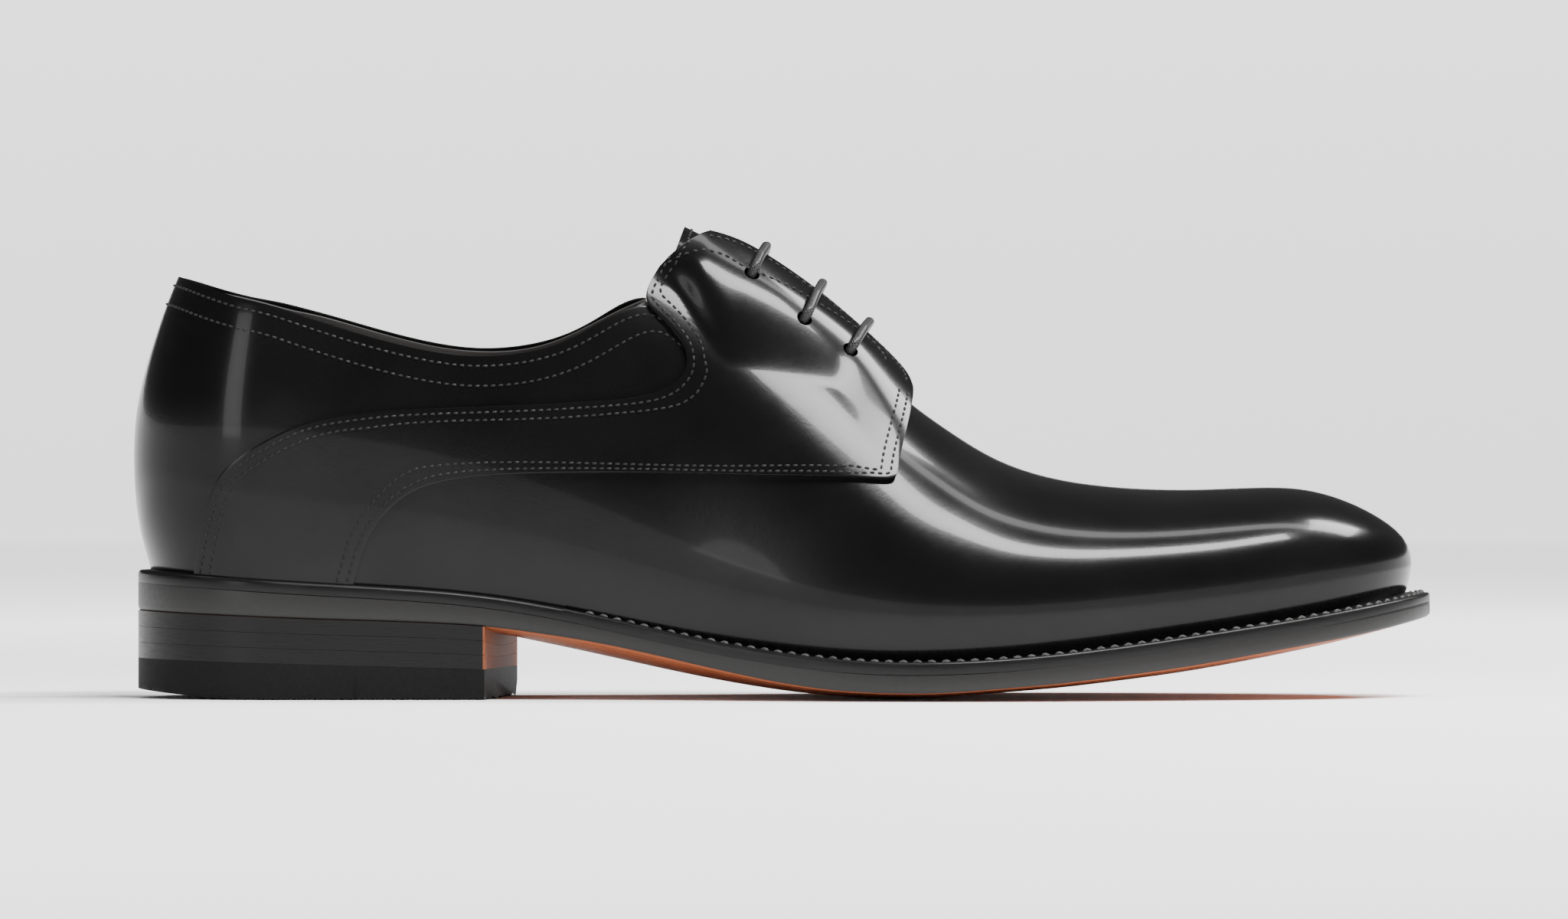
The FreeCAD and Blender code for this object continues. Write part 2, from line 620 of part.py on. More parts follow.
def lace_corners(k, side):
    place, up = eyelet(k, side)
    top = GLUE + UPPER_THICK + LACE_R + 0.8
    under = -LINING_THICK - EYELET_WALL - FLANGE_GAP - LACE_R - 0.2
    station, tilt = EYELETS[k]
    rise = []
    for ahead, turn, clear in ((0.7, (tilt + 7.5) / 2, 0.7), (1.5, 7.5, 0.9)):
        spot = arch((station + ahead) * LONG, turn, side)[1]
        rise.append(spot + normal(spot) * (quarter_depth(spot) + LACE_R + clear))
    return [place + up * under, place + up * top] + rise


def under_facing(station, tilt, side):
    """Midway between the tongue and the facing's lining, where a lace end is tucked in."""
    place = arch(station * LONG, tilt, side)[1]
    lining = facing_lining_depth(place) - LINING_THICK
    return place + normal(place) * ((lining + tongue_depth(place)) / 2)


def build_lacing():
    def bar(k, side):
        return lace_corners(k, side) + lace_corners(k, -side)[::-1]

    route = bar(0, LATERAL) + bar(1, MEDIAL) + bar(2, LATERAL)
    over_bars = [1.9, 6, 9, 9, 6, 1.9]
    radii = [1.7] + over_bars + ([1.7, 1.7] + over_bars) * 2 + [1.7]
    points = [under_facing(EYELETS[0][0] - 13.5, 11.5, LATERAL)] + route + \
             [under_facing(EYELETS[2][0] - 12.4, 16, MEDIAL)]
    tails = [(end, (start - end).normalize())
             for end, start in ((points[0], points[1]), (points[-1], points[-2]))]
    circle = Part.Wire(Part.makeCircle(LACE_R, points[0], tails[0][1]))
    lace = rounded(points, radii).makePipeShell([circle], True, True)
    aglets = []
    for end, way in tails:
        tube = Part.makeCylinder(LACE_R + 0.05 + AGLET_WALL, AGLET_LENGTH, end - way * 0.4, way)
        bore = Part.makeCylinder(LACE_R + 0.05, AGLET_LENGTH, end, way)
        aglets.append(tube.cut(bore))
    parts = {'lace': lace, 'lace_aglets': Part.makeCompound(aglets)}
    for side, name in ((LATERAL, 'eyelets_lateral'), (MEDIAL, 'eyelets_medial')):
        rings = []
        for k in range(len(EYELETS)):
            place, up = eyelet(k, side)
            base = place - up * (LINING_THICK + EYELET_WALL + FLANGE_GAP)
            flange = Part.makeCylinder(FLANGE_R, EYELET_WALL, base, up)
            tube = Part.makeCylinder(EYELET_R, LINING_THICK + EYELET_WALL + FLANGE_GAP - 0.1, base, up)
            bore = Part.makeCylinder(EYELET_R - EYELET_WALL, 9, base - up, up)
            rings.append(flange.fuse(tube).cut(bore))
        parts[name] = Part.makeCompound(rings)
    return parts


def punch(shape, radius, side=None):
    for k in range(len(EYELETS)):
        for s in ([side] if side else [LATERAL, MEDIAL]):
            place, up = eyelet(k, s)
            shape = shape.cut(Part.makeCylinder(radius, 16, place - up * 4, up))
    return shape


def build_upper():
    # the leather is trimmed where it stands on the welt
    below = slab(lambda x, y: -40, over_welt(0.03))

    def leather(low, high, ribs, steps, depth, thick):
        return sheet(strip(low, high, ribs, steps), depth, thick).cut(below)

    parts, under_vamp = {}, lambda p: -UPPER_THICK - GLUE
    vamp = strip(both_sides(vamp_foot), both_sides(vamp_edge), 91, 31)
    parts['vamp'] = sheet(vamp, on_last, UPPER_THICK).cut(below)
    parts['vamp_lining'] = sheet(vamp, lining_depth, LINING_THICK).cut(below)
    for side, name in ((LATERAL, 'quarter_lateral'), (MEDIAL, 'quarter_medial')):
        quarter = leather(quarter_low(side), quarter_high(side), 61, 17, quarter_depth, UPPER_THICK)
        parts[name] = punch(quarter, HOLE_R, side)
    parts['back_panel'] = leather(both_sides(back_panel_low), both_sides(back_panel_high), 91, 19,
                                  on_last, UPPER_THICK)
    lining = leather(both_sides(lining_low), both_sides(lining_high), 101, 21,
                     facing_lining_depth, LINING_THICK)
    parts['quarter_lining'] = punch(lining, EYELET_R + 0.05)
    parts['heel_stiffener'] = leather(both_sides(stiffener_low), both_sides(stiffener_high), 51, 15,
                                      under_vamp, STIFFENER_THICK)
    parts['toe_puff'] = leather(both_sides(puff_low), both_sides(puff_high), 41, 15,
                                under_vamp, STIFFENER_THICK)
    parts['tongue'] = sheet(tongue_grid(0.0), tongue_depth, UPPER_THICK)
    parts['tongue_lining'] = sheet(tongue_grid(0.7), lambda p: tongue_depth(p) - UPPER_THICK - GLUE,
                                   LINING_THICK)
    return parts


def build_stitches():
    """The outsole stitches that show on top of the welt."""
    ring = Part.BSplineCurve()
    ring.interpolate(Points=edge_points(lambda x: welt_reach(x) - 1.8), PeriodicFlag=True)
    stitches = []
    for p in ring.discretize(Distance=STITCH_PITCH):
        if p.x > WELT_END_X + 4:
            way = ring.tangent(ring.parameter(p))[0]
            ahead, behind = p + way * (STITCH_LENGTH / 2), p - way * (STITCH_LENGTH / 2)
            a = V(behind.x, behind.y, welt_top(behind.x) + STITCH_R)
            b = V(ahead.x, ahead.y, welt_top(ahead.x) + STITCH_R)
            stitches.append(Part.makeCylinder(STITCH_R, (b - a).Length, a, b - a))
    return {'welt_stitch': Part.makeCompound(stitches)}


def save(parts):
    os.makedirs("parts", exist_ok=True)
    for name, shape in parts.items():
        shape.exportStep("parts/%s.step" % name)


save({**build_upper(), **build_bottom(), **build_lacing(), **build_stitches()})
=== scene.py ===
"""A black leather dress shoe with open lacing and a stitched welt, on a pale studio floor.

Lengths are in millimetres on the last and in metres once a piece is in the scene.
"""
import math

import bpy
import numpy as np
from mathutils import Matrix, Vector


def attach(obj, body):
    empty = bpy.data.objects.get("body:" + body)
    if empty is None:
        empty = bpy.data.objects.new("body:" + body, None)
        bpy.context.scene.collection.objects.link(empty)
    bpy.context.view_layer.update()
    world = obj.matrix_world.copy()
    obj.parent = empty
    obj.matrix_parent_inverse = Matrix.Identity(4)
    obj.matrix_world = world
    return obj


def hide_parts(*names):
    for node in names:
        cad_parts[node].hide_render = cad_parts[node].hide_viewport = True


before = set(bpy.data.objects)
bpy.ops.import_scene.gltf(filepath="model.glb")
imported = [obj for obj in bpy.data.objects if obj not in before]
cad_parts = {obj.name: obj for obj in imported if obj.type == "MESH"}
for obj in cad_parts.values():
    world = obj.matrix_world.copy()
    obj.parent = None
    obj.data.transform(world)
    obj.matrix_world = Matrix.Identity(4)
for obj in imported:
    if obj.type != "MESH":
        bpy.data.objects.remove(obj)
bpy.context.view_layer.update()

MM = 0.001
LATERAL, MEDIAL = -1, 1
UP = np.array([0.0, 0.0, 1.0])

# ---- leather thickness and the depth of each layer on the last, as in the frame ----
UPPER_THICK, LINING_THICK, STIFFENER_THICK, GLUE = 1.4, 1.0, 1.1, 0.15
FACING_LIFT, TONGUE_DIP = 4.4, 3.1
WELT_THICK, INSOLE_THICK, SOCK_THICK = 3.0, 3.2, 0.9
HEEL_CENTRE_X, TOE_CENTRE_X, ROUND = -118.0, 72.0, 30.0
TOE_ROUND_X, TOE_TIP_X = 100.0, 147.2
THROAT_X, WELT_END_X, BREAST_X = 19.5, -52.0, -67.0

# ---- lacing: eyelets as (station, tilt), and the lace's room over and under the facings ----
EYELETS = [(12.5, 20.5), (2.0, 19.0), (-10.2, 14.5)]
HOLE_R, LINING_HOLE_R = 1.9, 1.95
LACE_R, EYELET_GAP, EYELET_FLANGE = 1.2, 0.35, 0.7
BRAID_R, BRAID_RELIEF, BRAID_TURNS, BRAID_SIDES = 1.15, 0.05, 1.9, 20

# ---- thread ----
SEAM_PITCH, SEAM_LENGTH, SEAM_R = 1.8, 1.4, 0.3
WELT_PITCH, WELT_LENGTH, WELT_STITCH_R = 3.3, 2.5, 0.5


class Curve:
    """A natural cubic through (place, value) pairs, straight beyond its ends."""

    def __init__(self, pairs):
        self.x, self.y = (np.array(c, float) for c in zip(*pairs))
        gap, size = np.diff(self.x), len(self.x)
        matrix, kink = np.eye(size), np.zeros(size)
        for i in range(1, size - 1):
            matrix[i, i - 1:i + 2] = gap[i - 1], 2 * (gap[i - 1] + gap[i]), gap[i]
            kink[i] = (self.y[i + 1] - self.y[i]) / gap[i] - (self.y[i] - self.y[i - 1]) / gap[i - 1]
        self.bend = np.linalg.solve(matrix, 6 * kink)

    def __call__(self, x):
        x = np.asarray(x, float)
        i = np.clip(np.searchsorted(self.x, x) - 1, 0, len(self.x) - 2)
        h, low, high = self.x[i + 1] - self.x[i], self.bend[i], self.bend[i + 1]
        b = (x - self.x[i]) / h
        a, b_in = 1 - b, np.clip(b, 0, 1)
        a_in = 1 - b_in
        curve = (a_in ** 3 - a_in) * low + (b_in ** 3 - b_in) * high
        curve = curve + np.where(b > 1, (b - 1) * (low + 2 * high), 0)
        curve = curve + np.where(a > 1, (a - 1) * (2 * low + high), 0)
        return a * self.y[i] + b * self.y[i + 1] + curve * h * h / 6


def smooth(x, start, end):
    t = np.clip((x - start) / (end - start), 0, 1)
    return t * t * (3 - 2 * t)


# ---- the last ----
welt_top = Curve([(-153, 30.4), (-110, 27.3), (-69, 24.2), (-48, 20.6), (-28, 16.2), (0, 11.2),
                  (18, 9.4), (36, 9.2), (58, 10.6), (91, 14.8), (128, 20.9), (152, 26.0)])
ridge = Curve([(-150, 124), (-110, 127), (-70, 124), (-40, 117), (-24, 110.6), (-13, 104.6),
               (-3, 97.8), (7, 89.6), (18, 79.4), (27.6, 70.4), (38, 62.7), (48, 56.6), (59, 52.4),
               (75, 49.6), (96, 48.8), (112, 49.5), (121, 49.9), (130, 49.3), (147, 46)])
heel_back = Curve([(20, -147.5), (30.6, -149.6), (37, -151.4), (46, -152.9), (55, -153.4),
                   (66, -152.9), (79, -150.1), (87.5, -147.4), (93, -145.4), (99, -142.9), (112, -137)])
widest_rise = Curve([(-153, 24), (-100, 21), (-50, 16), (0, 12), (50, 10), (100, 7.5), (147, 6)])
root_rise = Curve([(-153, 25), (-60, 22), (0, 16), (60, 12), (147, 9)])
centre_y = Curve([(-153, 0), (-60, 0), (0, 1), (30, 2), (60, 4), (100, 6), (147, 7)])
lateral_width = Curve([(-153, 31), (-110, 31.2), (-80, 30.7), (-50, 31.8), (-25, 36.9), (0, 44.4),
                       (25, 50.6), (45, 52.4), (65, 50.6), (85, 46.4), (105, 41.5), (147, 31)])
medial_width = Curve([(-153, 31), (-110, 31.2), (-80, 29.8), (-50, 27.3), (-25, 28.6), (0, 34.4),
                      (25, 41.6), (50, 44.9), (70, 43.2), (90, 39.0), (105, 35.2), (147, 28)])
fullness = Curve([(-150, 2.3), (-110, 2.3), (-70, 2.1), (-30, 1.9), (0, 1.85), (28, 2.0), (60, 2.3),
                  (100, 2.7), (147, 2.7)])
top_line = Curve([(-148, 98.8), (-139, 98.2), (-125, 93.6), (-110, 88.4), (-96, 84.1), (-81, 80.7),
                  (-70, 79.8), (-60, 81.0), (-52, 83.3), (-45, 86.9), (-34, 92.6)])
sole_line = Curve([(-153, 20.6), (-110, 18.2), (-80, 16.6), (-67, 14.9), (-60, 13.5), (-45, 10.3),
                   (-24, 5.7), (-9, 2.9), (5, 1.0), (19.5, 0.1), (27, 0), (34, 0.1), (48, 1.0),
                   (63, 2.2), (77, 3.8), (92, 5.8), (106, 8.2), (120, 11.0), (135, 14.5), (152, 19.4)])
crown = Curve([(-153, 0.2), (-110, 0.5), (-75, 1.2), (-50, 2.4), (-25, 2.4), (5, 1.6), (40, 1.4),
               (110, 1.4), (152, 0.6)])
welt_reach = Curve([(-153, 2.9), (-110, 3.0), (-60, 2.6), (-30, 3.4), (0, 4.9), (30, 5.6),
                    (100, 5.6), (152, 5.8)])


def dot(a, b):
    return (a * b).sum(-1, keepdims=True)


def unit(v):
    return v / np.linalg.norm(v, axis=-1, keepdims=True)


def beyond(p):
    """Below 0 inside the last, 0 on it and above 0 outside."""
    x, y, z = p[..., 0], p[..., 1], p[..., 2]
    base = welt_top(x)
    widest = base + widest_rise(x)
    over = np.clip((z - widest) / (ridge(x) - widest), 0, None) ** fullness(x)
    under = 0.08 * (np.clip(widest - z, 0, None) / (widest - base)) ** 2
    left = 1 - over - under
    reach = np.clip((HEEL_CENTRE_X - x) / (HEEL_CENTRE_X - heel_back(z)), 0, None)
    left = np.where(x < HEEL_CENTRE_X, left * (1 - reach ** 2.2), left)
    left = left - np.clip((x - TOE_ROUND_X) / (TOE_TIP_X - TOE_ROUND_X), 0, None) ** 2.7
    across = y - centre_y(x)
    side = 0.5 + 0.5 * np.tanh(across / 12)
    width = lateral_width(x) * (1 - side) + medial_width(x) * side
    return (across / width) ** 2 - left


def normal(p):
    step = 0.02
    slope = [beyond(p + step * d) - beyond(p - step * d) for d in np.eye(3)]
    return unit(np.stack(slope, -1))


def cast(start, way):
    """Where rays from inside the last meet its surface: long steps out, then halvings."""
    stride, strides, halvings = 8, 26, 22
    shape = np.broadcast(start, way).shape
    near, marching = np.zeros(shape[:-1] + (1,)), np.ones(shape[:-1] + (1,), bool)
    for _ in range(strides):
        marching &= beyond(start + way * (near + stride))[..., None] < 0
        near = np.where(marching, near + stride, near)
    far = near + stride
    for _ in range(halvings):
        middle = (near + far) / 2
        inside = beyond(start + way * middle)[..., None] < 0
        near, far = np.where(inside, middle, near), np.where(inside, far, middle)
    return start + way * near


# ---- places on the last, each with the root point its rays start from ----
def root(x):
    return np.stack([x, centre_y(x), welt_top(x) + root_rise(x)], -1)


def heading(station, side):
    """The root point and level direction of stations: x along the sides, then round each end."""
    station = np.asarray(station, float)
    back = np.clip((HEEL_CENTRE_X - station) / ROUND, 0, 1) * math.pi / 2
    ahead = np.clip((station - TOE_CENTRE_X) / ROUND, 0, 1) * math.pi / 2
    flat = np.stack([np.sin(ahead) - np.sin(back), side * np.cos(ahead + back), 0 * back], -1)
    return root(np.clip(station, HEEL_CENTRE_X, TOE_CENTRE_X)), flat


def level(station, z, side):
    """Places at a height above the ground."""
    start, way = heading(station, side)
    flat_start = start.copy()
    flat_start[..., 2] = z
    return start, cast(flat_start, way)


def foot(station, side, sink=1.0):
    """Where the upper meets the welt, or sink mm below there."""
    start, _ = heading(station, side)
    z = welt_top(start[..., 0]) - sink
    for _ in range(4):
        p = level(station, z, side)[1]
        z = welt_top(p[..., 0]) - sink
    return level(station, z, side)


def arch(station, tilt, side):
    """Places at an angle from straight up, in degrees."""
    start, way = heading(station, side)
    tilt = np.radians(tilt)[..., None]
    return start, cast(start, way * np.sin(tilt) + UP * np.cos(tilt))


def tilt_at(p):
    """The angle from straight up, in degrees, at which a place is seen from its root point."""
    start = root(np.clip(p[..., 0], HEEL_CENTRE_X, TOE_CENTRE_X))
    out = p - start
    return np.degrees(np.arctan2(np.hypot(out[..., 0], out[..., 1]), out[..., 2]))


def path(points):
    """A smooth line through points, as a function of its share from 0 to 1."""
    points = np.array(points)
    axes = [Curve(list(enumerate(points[:, k]))) for k in range(3)]
    return lambda t: np.stack([a(t * (len(points) - 1)) for a in axes], -1)


def strip(low, high, ribs, steps):
    """A grid of places between two edges given at matching stations, evenly spaced along ribs."""
    t = np.linspace(0, 1, ribs)
    start = path([(a[0] + b[0]) / 2 for a, b in zip(low, high)])(t)[:, None]
    a = unit(path([p[1] for p in low])(t)[:, None] - start)
    b = unit(path([p[1] for p in high])(t)[:, None] - start)
    angle = np.arccos(np.clip(dot(a, b), -1, 1))

    def places(share):
        share = share[..., None]
        return cast(start, (a * np.sin((1 - share) * angle) + b * np.sin(share * angle)) / np.sin(angle))

    rough = np.linspace(0, 1, 41) * np.ones((ribs, 1))
    run = np.linalg.norm(np.diff(places(rough), axis=1), axis=-1)
    far = np.concatenate([np.zeros((ribs, 1)), np.cumsum(run, 1)], 1)
    even = np.array([np.interp(np.linspace(0, row[-1], steps), row, rough[0]) for row in far])
    return places(even)


def both_sides(edge):
    """One side's edge and then the other's back again, as one edge round the shoe."""
    return edge(LATERAL) + edge(MEDIAL)[-2::-1]


# ---- depth of each layer's outer face, below 0 inside the last ----
def on_last(p):
    return 0 * p[..., 0]


def facing_lift(p):
    start = 20 + 13 * smooth(p[..., 0], -28, -12) + 22 * smooth(p[..., 0], 10, 26)
    return FACING_LIFT * smooth(tilt_at(p), start, 14) * smooth(p[..., 0], -34, -20)


def quarter_depth(p):
    return UPPER_THICK + 0.8 * GLUE + facing_lift(p)


def lining_depth(p):
    x, z = p[..., 0], p[..., 2]
    stiffened = np.maximum(smooth(x, -70, -83) * smooth(z, 90, 74), smooth(x, 76, 87))
    return -UPPER_THICK - GLUE - (STIFFENER_THICK + GLUE) * stiffened


def facing_lining_depth(p):
    return lining_depth(p) + (1 + (UPPER_THICK + GLUE) / FACING_LIFT) * facing_lift(p)


def tongue_depth(p):
    return -TONGUE_DIP * smooth(tilt_at(p), 8, 20)


# ---- edges of the leather pieces, one side of the shoe each ----
def top_edge(station, side, drop=0.0):
    rise = 2.5 * smooth(station, -145, -100) if side == MEDIAL else 0
    return level(station, top_line(station) + rise - drop, side)


def places(walls, side):
    return [level(s, z, side) for s, z in walls]


def turned(shares, side):
    return [foot(TOE_CENTRE_X + share * ROUND, side) for share in shares]


def vamp_foot(side):
    return [foot(s, side) for s in (-109, -86, -63, -40, -17, 6, 29, 50, 68, 78)] + \
           turned((0.42, 0.62, 0.81, 1.0), side)


def vamp_edge(side):
    walls = [(-97.5, 47), (-87, 53.6), (-72, 57), (-55, 58), (-38, 58.2), (-21, 58.1), (-5, 58.6),
             (6, 61), (13, 65.6), (17.2, 71.6)]
    return places(walls, side) + [arch(THROAT_X, tilt, side) for tilt in (14, 8, 4, 0)]


def quarter_low(side):
    walls = [(-97.6, 36.5), (-92.5, 44), (-84, 49.6), (-68, 52.2), (-46, 52.8), (-24, 52.6),
             (-4, 52), (14, 51.4), (24.0, 50.9), (25.6, 54.5), (26.6, 62.5), (26.3, 68)]
    ridge_side = [(25.4, 17), (22.3, 9), (15, 6.8), (6, 6.8), (-3, 7.0), (-12, 7.0), (-20, 8.4)]
    return [foot(-101, side)] + places(walls, side) + [arch(s, tilt, side) for s, tilt in ridge_side]


def quarter_high(side):
    walls = [(-128, 45), (-125.4, 53.5), (-119.5, 60.5), (-109, 65), (-93, 67), (-77, 67.7),
             (-61, 68.3), (-48, 68.9), (-39, 69.5), (-32, 70.6), (-27, 72.5), (-24, 75.4),
             (-23.2, 78.5), (-24, 81.8), (-26, 84.8), (-28.6, 87.8), (-31.5, 90.6), (-32.8, 94),
             (-30, 99.8)]
    return [foot(-131, side)] + places(walls, side)


def back_panel_low(side):
    walls = [(-19, 81), (-20, 74), (-28, 67.4), (-42, 63.4), (-60, 62.4), (-79, 61.6), (-96, 60),
             (-108, 56.5), (-116, 50.5), (-121, 42.5), (-123.5, 34)]
    return places(walls, side) + [foot(s, side) for s in (-128, -136, -142, HEEL_CENTRE_X - ROUND)]


def back_panel_high(side):
    return [level(-24.5, 86.5, side), top_edge(-33, side, 1.5)] + \
           [top_edge(s, side) for s in (-44, -54, -65, -76, -87, -98, -109, -118, -124, -130, -136,
                                        -142, HEEL_CENTRE_X - ROUND)]


def lining_low(side):
    walls = [(15.6, 74), (13, 68.9), (7, 63.8), (-4, 60.2), (-18, 59.6), (-36, 59.7), (-54, 59.6),
             (-72, 58.6), (-87, 55.4), (-97.5, 49)]
    return places(walls, side) + [foot(s, side)
                                  for s in (-112, -120, -128, -136, -142, HEEL_CENTRE_X - ROUND)]


def lining_high(side):
    facing = [(16.5, 7.5), (9, 7.5), (-1, 7.8), (-10, 8.6), (-17, 10.6)]
    return [arch(s, tilt, side) for s, tilt in facing] + [level(-29.5, 96, side)] + \
           [top_edge(s, side, 0.5) for s in (-41, -55, -70, -85, -100, -112, -121, -130, -139,
                                             HEEL_CENTRE_X - ROUND)]


def tongue_places(inset=0.0):
    half = Curve([(0, 9.5), (0.18, 17), (0.4, 23), (0.7, 26.5), (1, 26)])
    along, across = np.meshgrid(np.linspace(0, 1, 90), np.linspace(-1, 1, 71), indexing='ij')
    tilt = (half(along) - inset * 1.2) * across
    front = THROAT_X - 2 - inset
    back = -24 - 9.4 * (tilt / 24) ** 2 + 0.6 * inset
    return arch(front + (back - front) * along, tilt, MEDIAL)[1]


# ---- making pieces ----
def deselect():
    if bpy.context.object and bpy.context.object.mode != 'OBJECT':
        bpy.ops.object.mode_set(mode='OBJECT')
    bpy.ops.object.select_all(action='DESELECT')


def take(piece):
    deselect()
    piece.select_set(True)
    bpy.context.view_layer.objects.active = piece


def grid_piece(name, points):
    """A flat cut of leather, laid over a grid of points in mm."""
    rows, columns = points.shape[:2]
    deselect()
    bpy.ops.mesh.primitive_grid_add(x_subdivisions=columns - 1, y_subdivisions=rows - 1, size=1)
    piece = bpy.context.object
    piece.name = piece.data.name = name
    piece.data.vertices.foreach_set('co', (points * MM).reshape(-1))
    piece.data.update()
    return piece


def face_out(piece, way):
    """Turns the faces round where the first one's normal is against way."""
    if Vector(way).dot(piece.data.polygons[0].normal) < 0:
        take(piece)
        bpy.ops.object.mode_set(mode='EDIT')
        bpy.ops.mesh.select_all(action='SELECT')
        bpy.ops.mesh.flip_normals()
        bpy.ops.object.mode_set(mode='OBJECT')


def apply_modifier(piece, kind, **settings):
    take(piece)
    modifier = piece.modifiers.new(kind.title(), kind)
    for key, value in settings.items():
        setattr(modifier, key, value)
    bpy.ops.object.modifier_apply(modifier=modifier.name)


def finish_piece(piece, body, material, replaced=(), angle=35):
    take(piece)
    bpy.ops.object.shade_smooth_by_angle(angle=math.radians(angle))
    piece.data.materials.clear()
    piece.data.materials.append(material)
    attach(piece, body)
    if replaced:
        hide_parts(*replaced)


def leather(name, grid, depth, thick, cut_edge=0.3):
    """Leather over the last: grid of places, outer face at a depth, with rounded cut edges."""
    up = normal(grid)
    piece = grid_piece(name, grid + up * depth(grid)[..., None])
    face_out(piece, up[0, 0])
    apply_modifier(piece, 'SOLIDIFY', thickness=thick * MM, offset=-1)
    apply_modifier(piece, 'BEVEL', width=cut_edge * MM, segments=3, limit_method='ANGLE',
                   angle_limit=math.radians(50), harden_normals=False)
    return piece


def mesh_piece(name, verts, faces):
    data = bpy.data.meshes.new(name)
    data.from_pydata(verts, [], faces)
    data.update()
    piece = bpy.data.objects.new(name, data)
    bpy.context.scene.collection.objects.link(piece)
    return piece


def swept(name, rows):
    """A piece from rows of points, each a closed section; the two ends are capped."""
    count, width = rows.shape[:2]
    faces = [tuple(range(width))[::-1]]
    for a in range(0, (count - 1) * width, width):
        faces += [(a + j, a + (j + 1) % width, a + width + (j + 1) % width, a + width + j)
                  for j in range(width)]
    faces.append(tuple((count - 1) * width + j for j in range(width)))
    piece = mesh_piece(name, (rows * MM).reshape(-1, 3), faces)
    take(piece)
    bpy.ops.object.mode_set(mode='EDIT')
    bpy.ops.mesh.select_all(action='SELECT')
    bpy.ops.mesh.normals_make_consistent(inside=False)
    bpy.ops.object.mode_set(mode='OBJECT')
    return piece


# ---- stitches ----
def sample(grid, i, j):
    """Places of a grid at fractional rows and columns."""
    i = np.clip(i, 0, grid.shape[0] - 1.001)
    j = np.clip(j, 0, grid.shape[1] - 1.001)
    a, b = i.astype(int), j.astype(int)
    u, v = (i - a)[..., None], (j - b)[..., None]
    return (grid[a, b] * (1 - u) * (1 - v) + grid[a + 1, b] * u * (1 - v)
            + grid[a, b + 1] * (1 - u) * v + grid[a + 1, b + 1] * u * v)


def inside_edge(grid, inset):
    """Column positions a distance in from the first column's edge, measured square to it."""
    ribs = np.linalg.norm(np.diff(grid, axis=1), axis=-1)
    far = np.concatenate([np.zeros((len(grid), 1)), np.cumsum(ribs, 1)], 1)
    along = unit(np.gradient(grid[:, 0], axis=0))
    across = unit(grid[:, 1] - grid[:, 0])
    square = np.sqrt(np.clip(1 - dot(along, across)[:, 0] ** 2, 0.2, 1))
    goal = inset / square
    return np.array([np.interp(g, row, np.arange(len(row))) for g, row in zip(goal, far)])


def even_run(points, pitch):
    """Evenly spaced places along a line and the way on from each, for stitches."""
    run = np.concatenate([[0], np.cumsum(np.linalg.norm(np.diff(points, axis=0), axis=1))])
    count = max(2, int(run[-1] / pitch))
    t = (np.arange(count) + 0.5) / count * run[-1]
    spots = np.stack([np.interp(t, run, points[:, k]) for k in range(3)], -1)
    ahead = np.stack([np.interp(t + 0.3, run, points[:, k]) for k in range(3)], -1)
    return spots, unit(ahead - spots + 1e-9)


def stitch_template(length, radius):
    """One stitch, lying along X: a short bar of thread with rounded, sunken ends."""
    deselect()
    bpy.ops.mesh.primitive_uv_sphere_add(segments=8, ring_count=6, radius=1)
    ball = bpy.context.object
    verts = np.array([v.co for v in ball.data.vertices])
    faces = [tuple(p.vertices) for p in ball.data.polygons]
    bpy.data.objects.remove(ball)
    verts = verts[:, [2, 0, 1]]
    verts[:, 0] = np.sign(verts[:, 0]) * np.abs(verts[:, 0]) ** 0.6 * length / 2
    verts[:, 1:] *= radius
    verts[:, 2] -= 1.3 * radius * np.abs(verts[:, 0] / (length / 2)) ** 3
    return verts, faces


def stitch_row(name, runs, depth, length, radius, proud=0.08):
    """Stitches along runs, each (spots, ways), on leather at a depth, or on the welt without one."""
    shape, faces = stitch_template(length, radius)
    verts, all_faces = [], []
    for spots, ways in runs:
        up = normal(spots) if depth else np.tile(UP, (len(spots), 1))
        base = spots + up * ((depth(spots)[:, None] if depth else 0) + proud)
        ways = unit(ways - up * dot(ways, up))
        side = np.cross(up, ways)
        for place, x, y, z in zip(base, ways, side, up):
            first = len(verts) * len(shape)
            verts.append(place + shape[:, :1] * x + shape[:, 1:2] * y + shape[:, 2:] * z)
            all_faces += [tuple(first + k for k in f) for f in faces]
    return mesh_piece(name, np.concatenate(verts) * MM, all_faces)


# ---- finishes ----
class Value:
    """A number or link inside a finish; Python's operators on it add Math nodes."""

    def __init__(self, finish, socket):
        self.finish, self.socket = finish, socket

    def math(self, operation, other=None, swapped=False):
        pair = [self] if other is None else [other, self] if swapped else [self, other]
        return self.finish.node('ShaderNodeMath', {'operation': operation}, dict(enumerate(pair)))

    def __add__(self, other):
        return self.math('ADD', other)

    def __sub__(self, other):
        return self.math('SUBTRACT', other)

    def __rsub__(self, other):
        return self.math('SUBTRACT', other, True)

    def __mul__(self, other):
        return self.math('MULTIPLY', other)

    __radd__, __rmul__ = __add__, __mul__

    def ramp(self, start, end):
        """0 at start to 1 at end, eased at both."""
        return self.finish.node('ShaderNodeMapRange', {'interpolation_type': 'SMOOTHSTEP'},
                                {'Value': self, 'From Min': start, 'From Max': end})


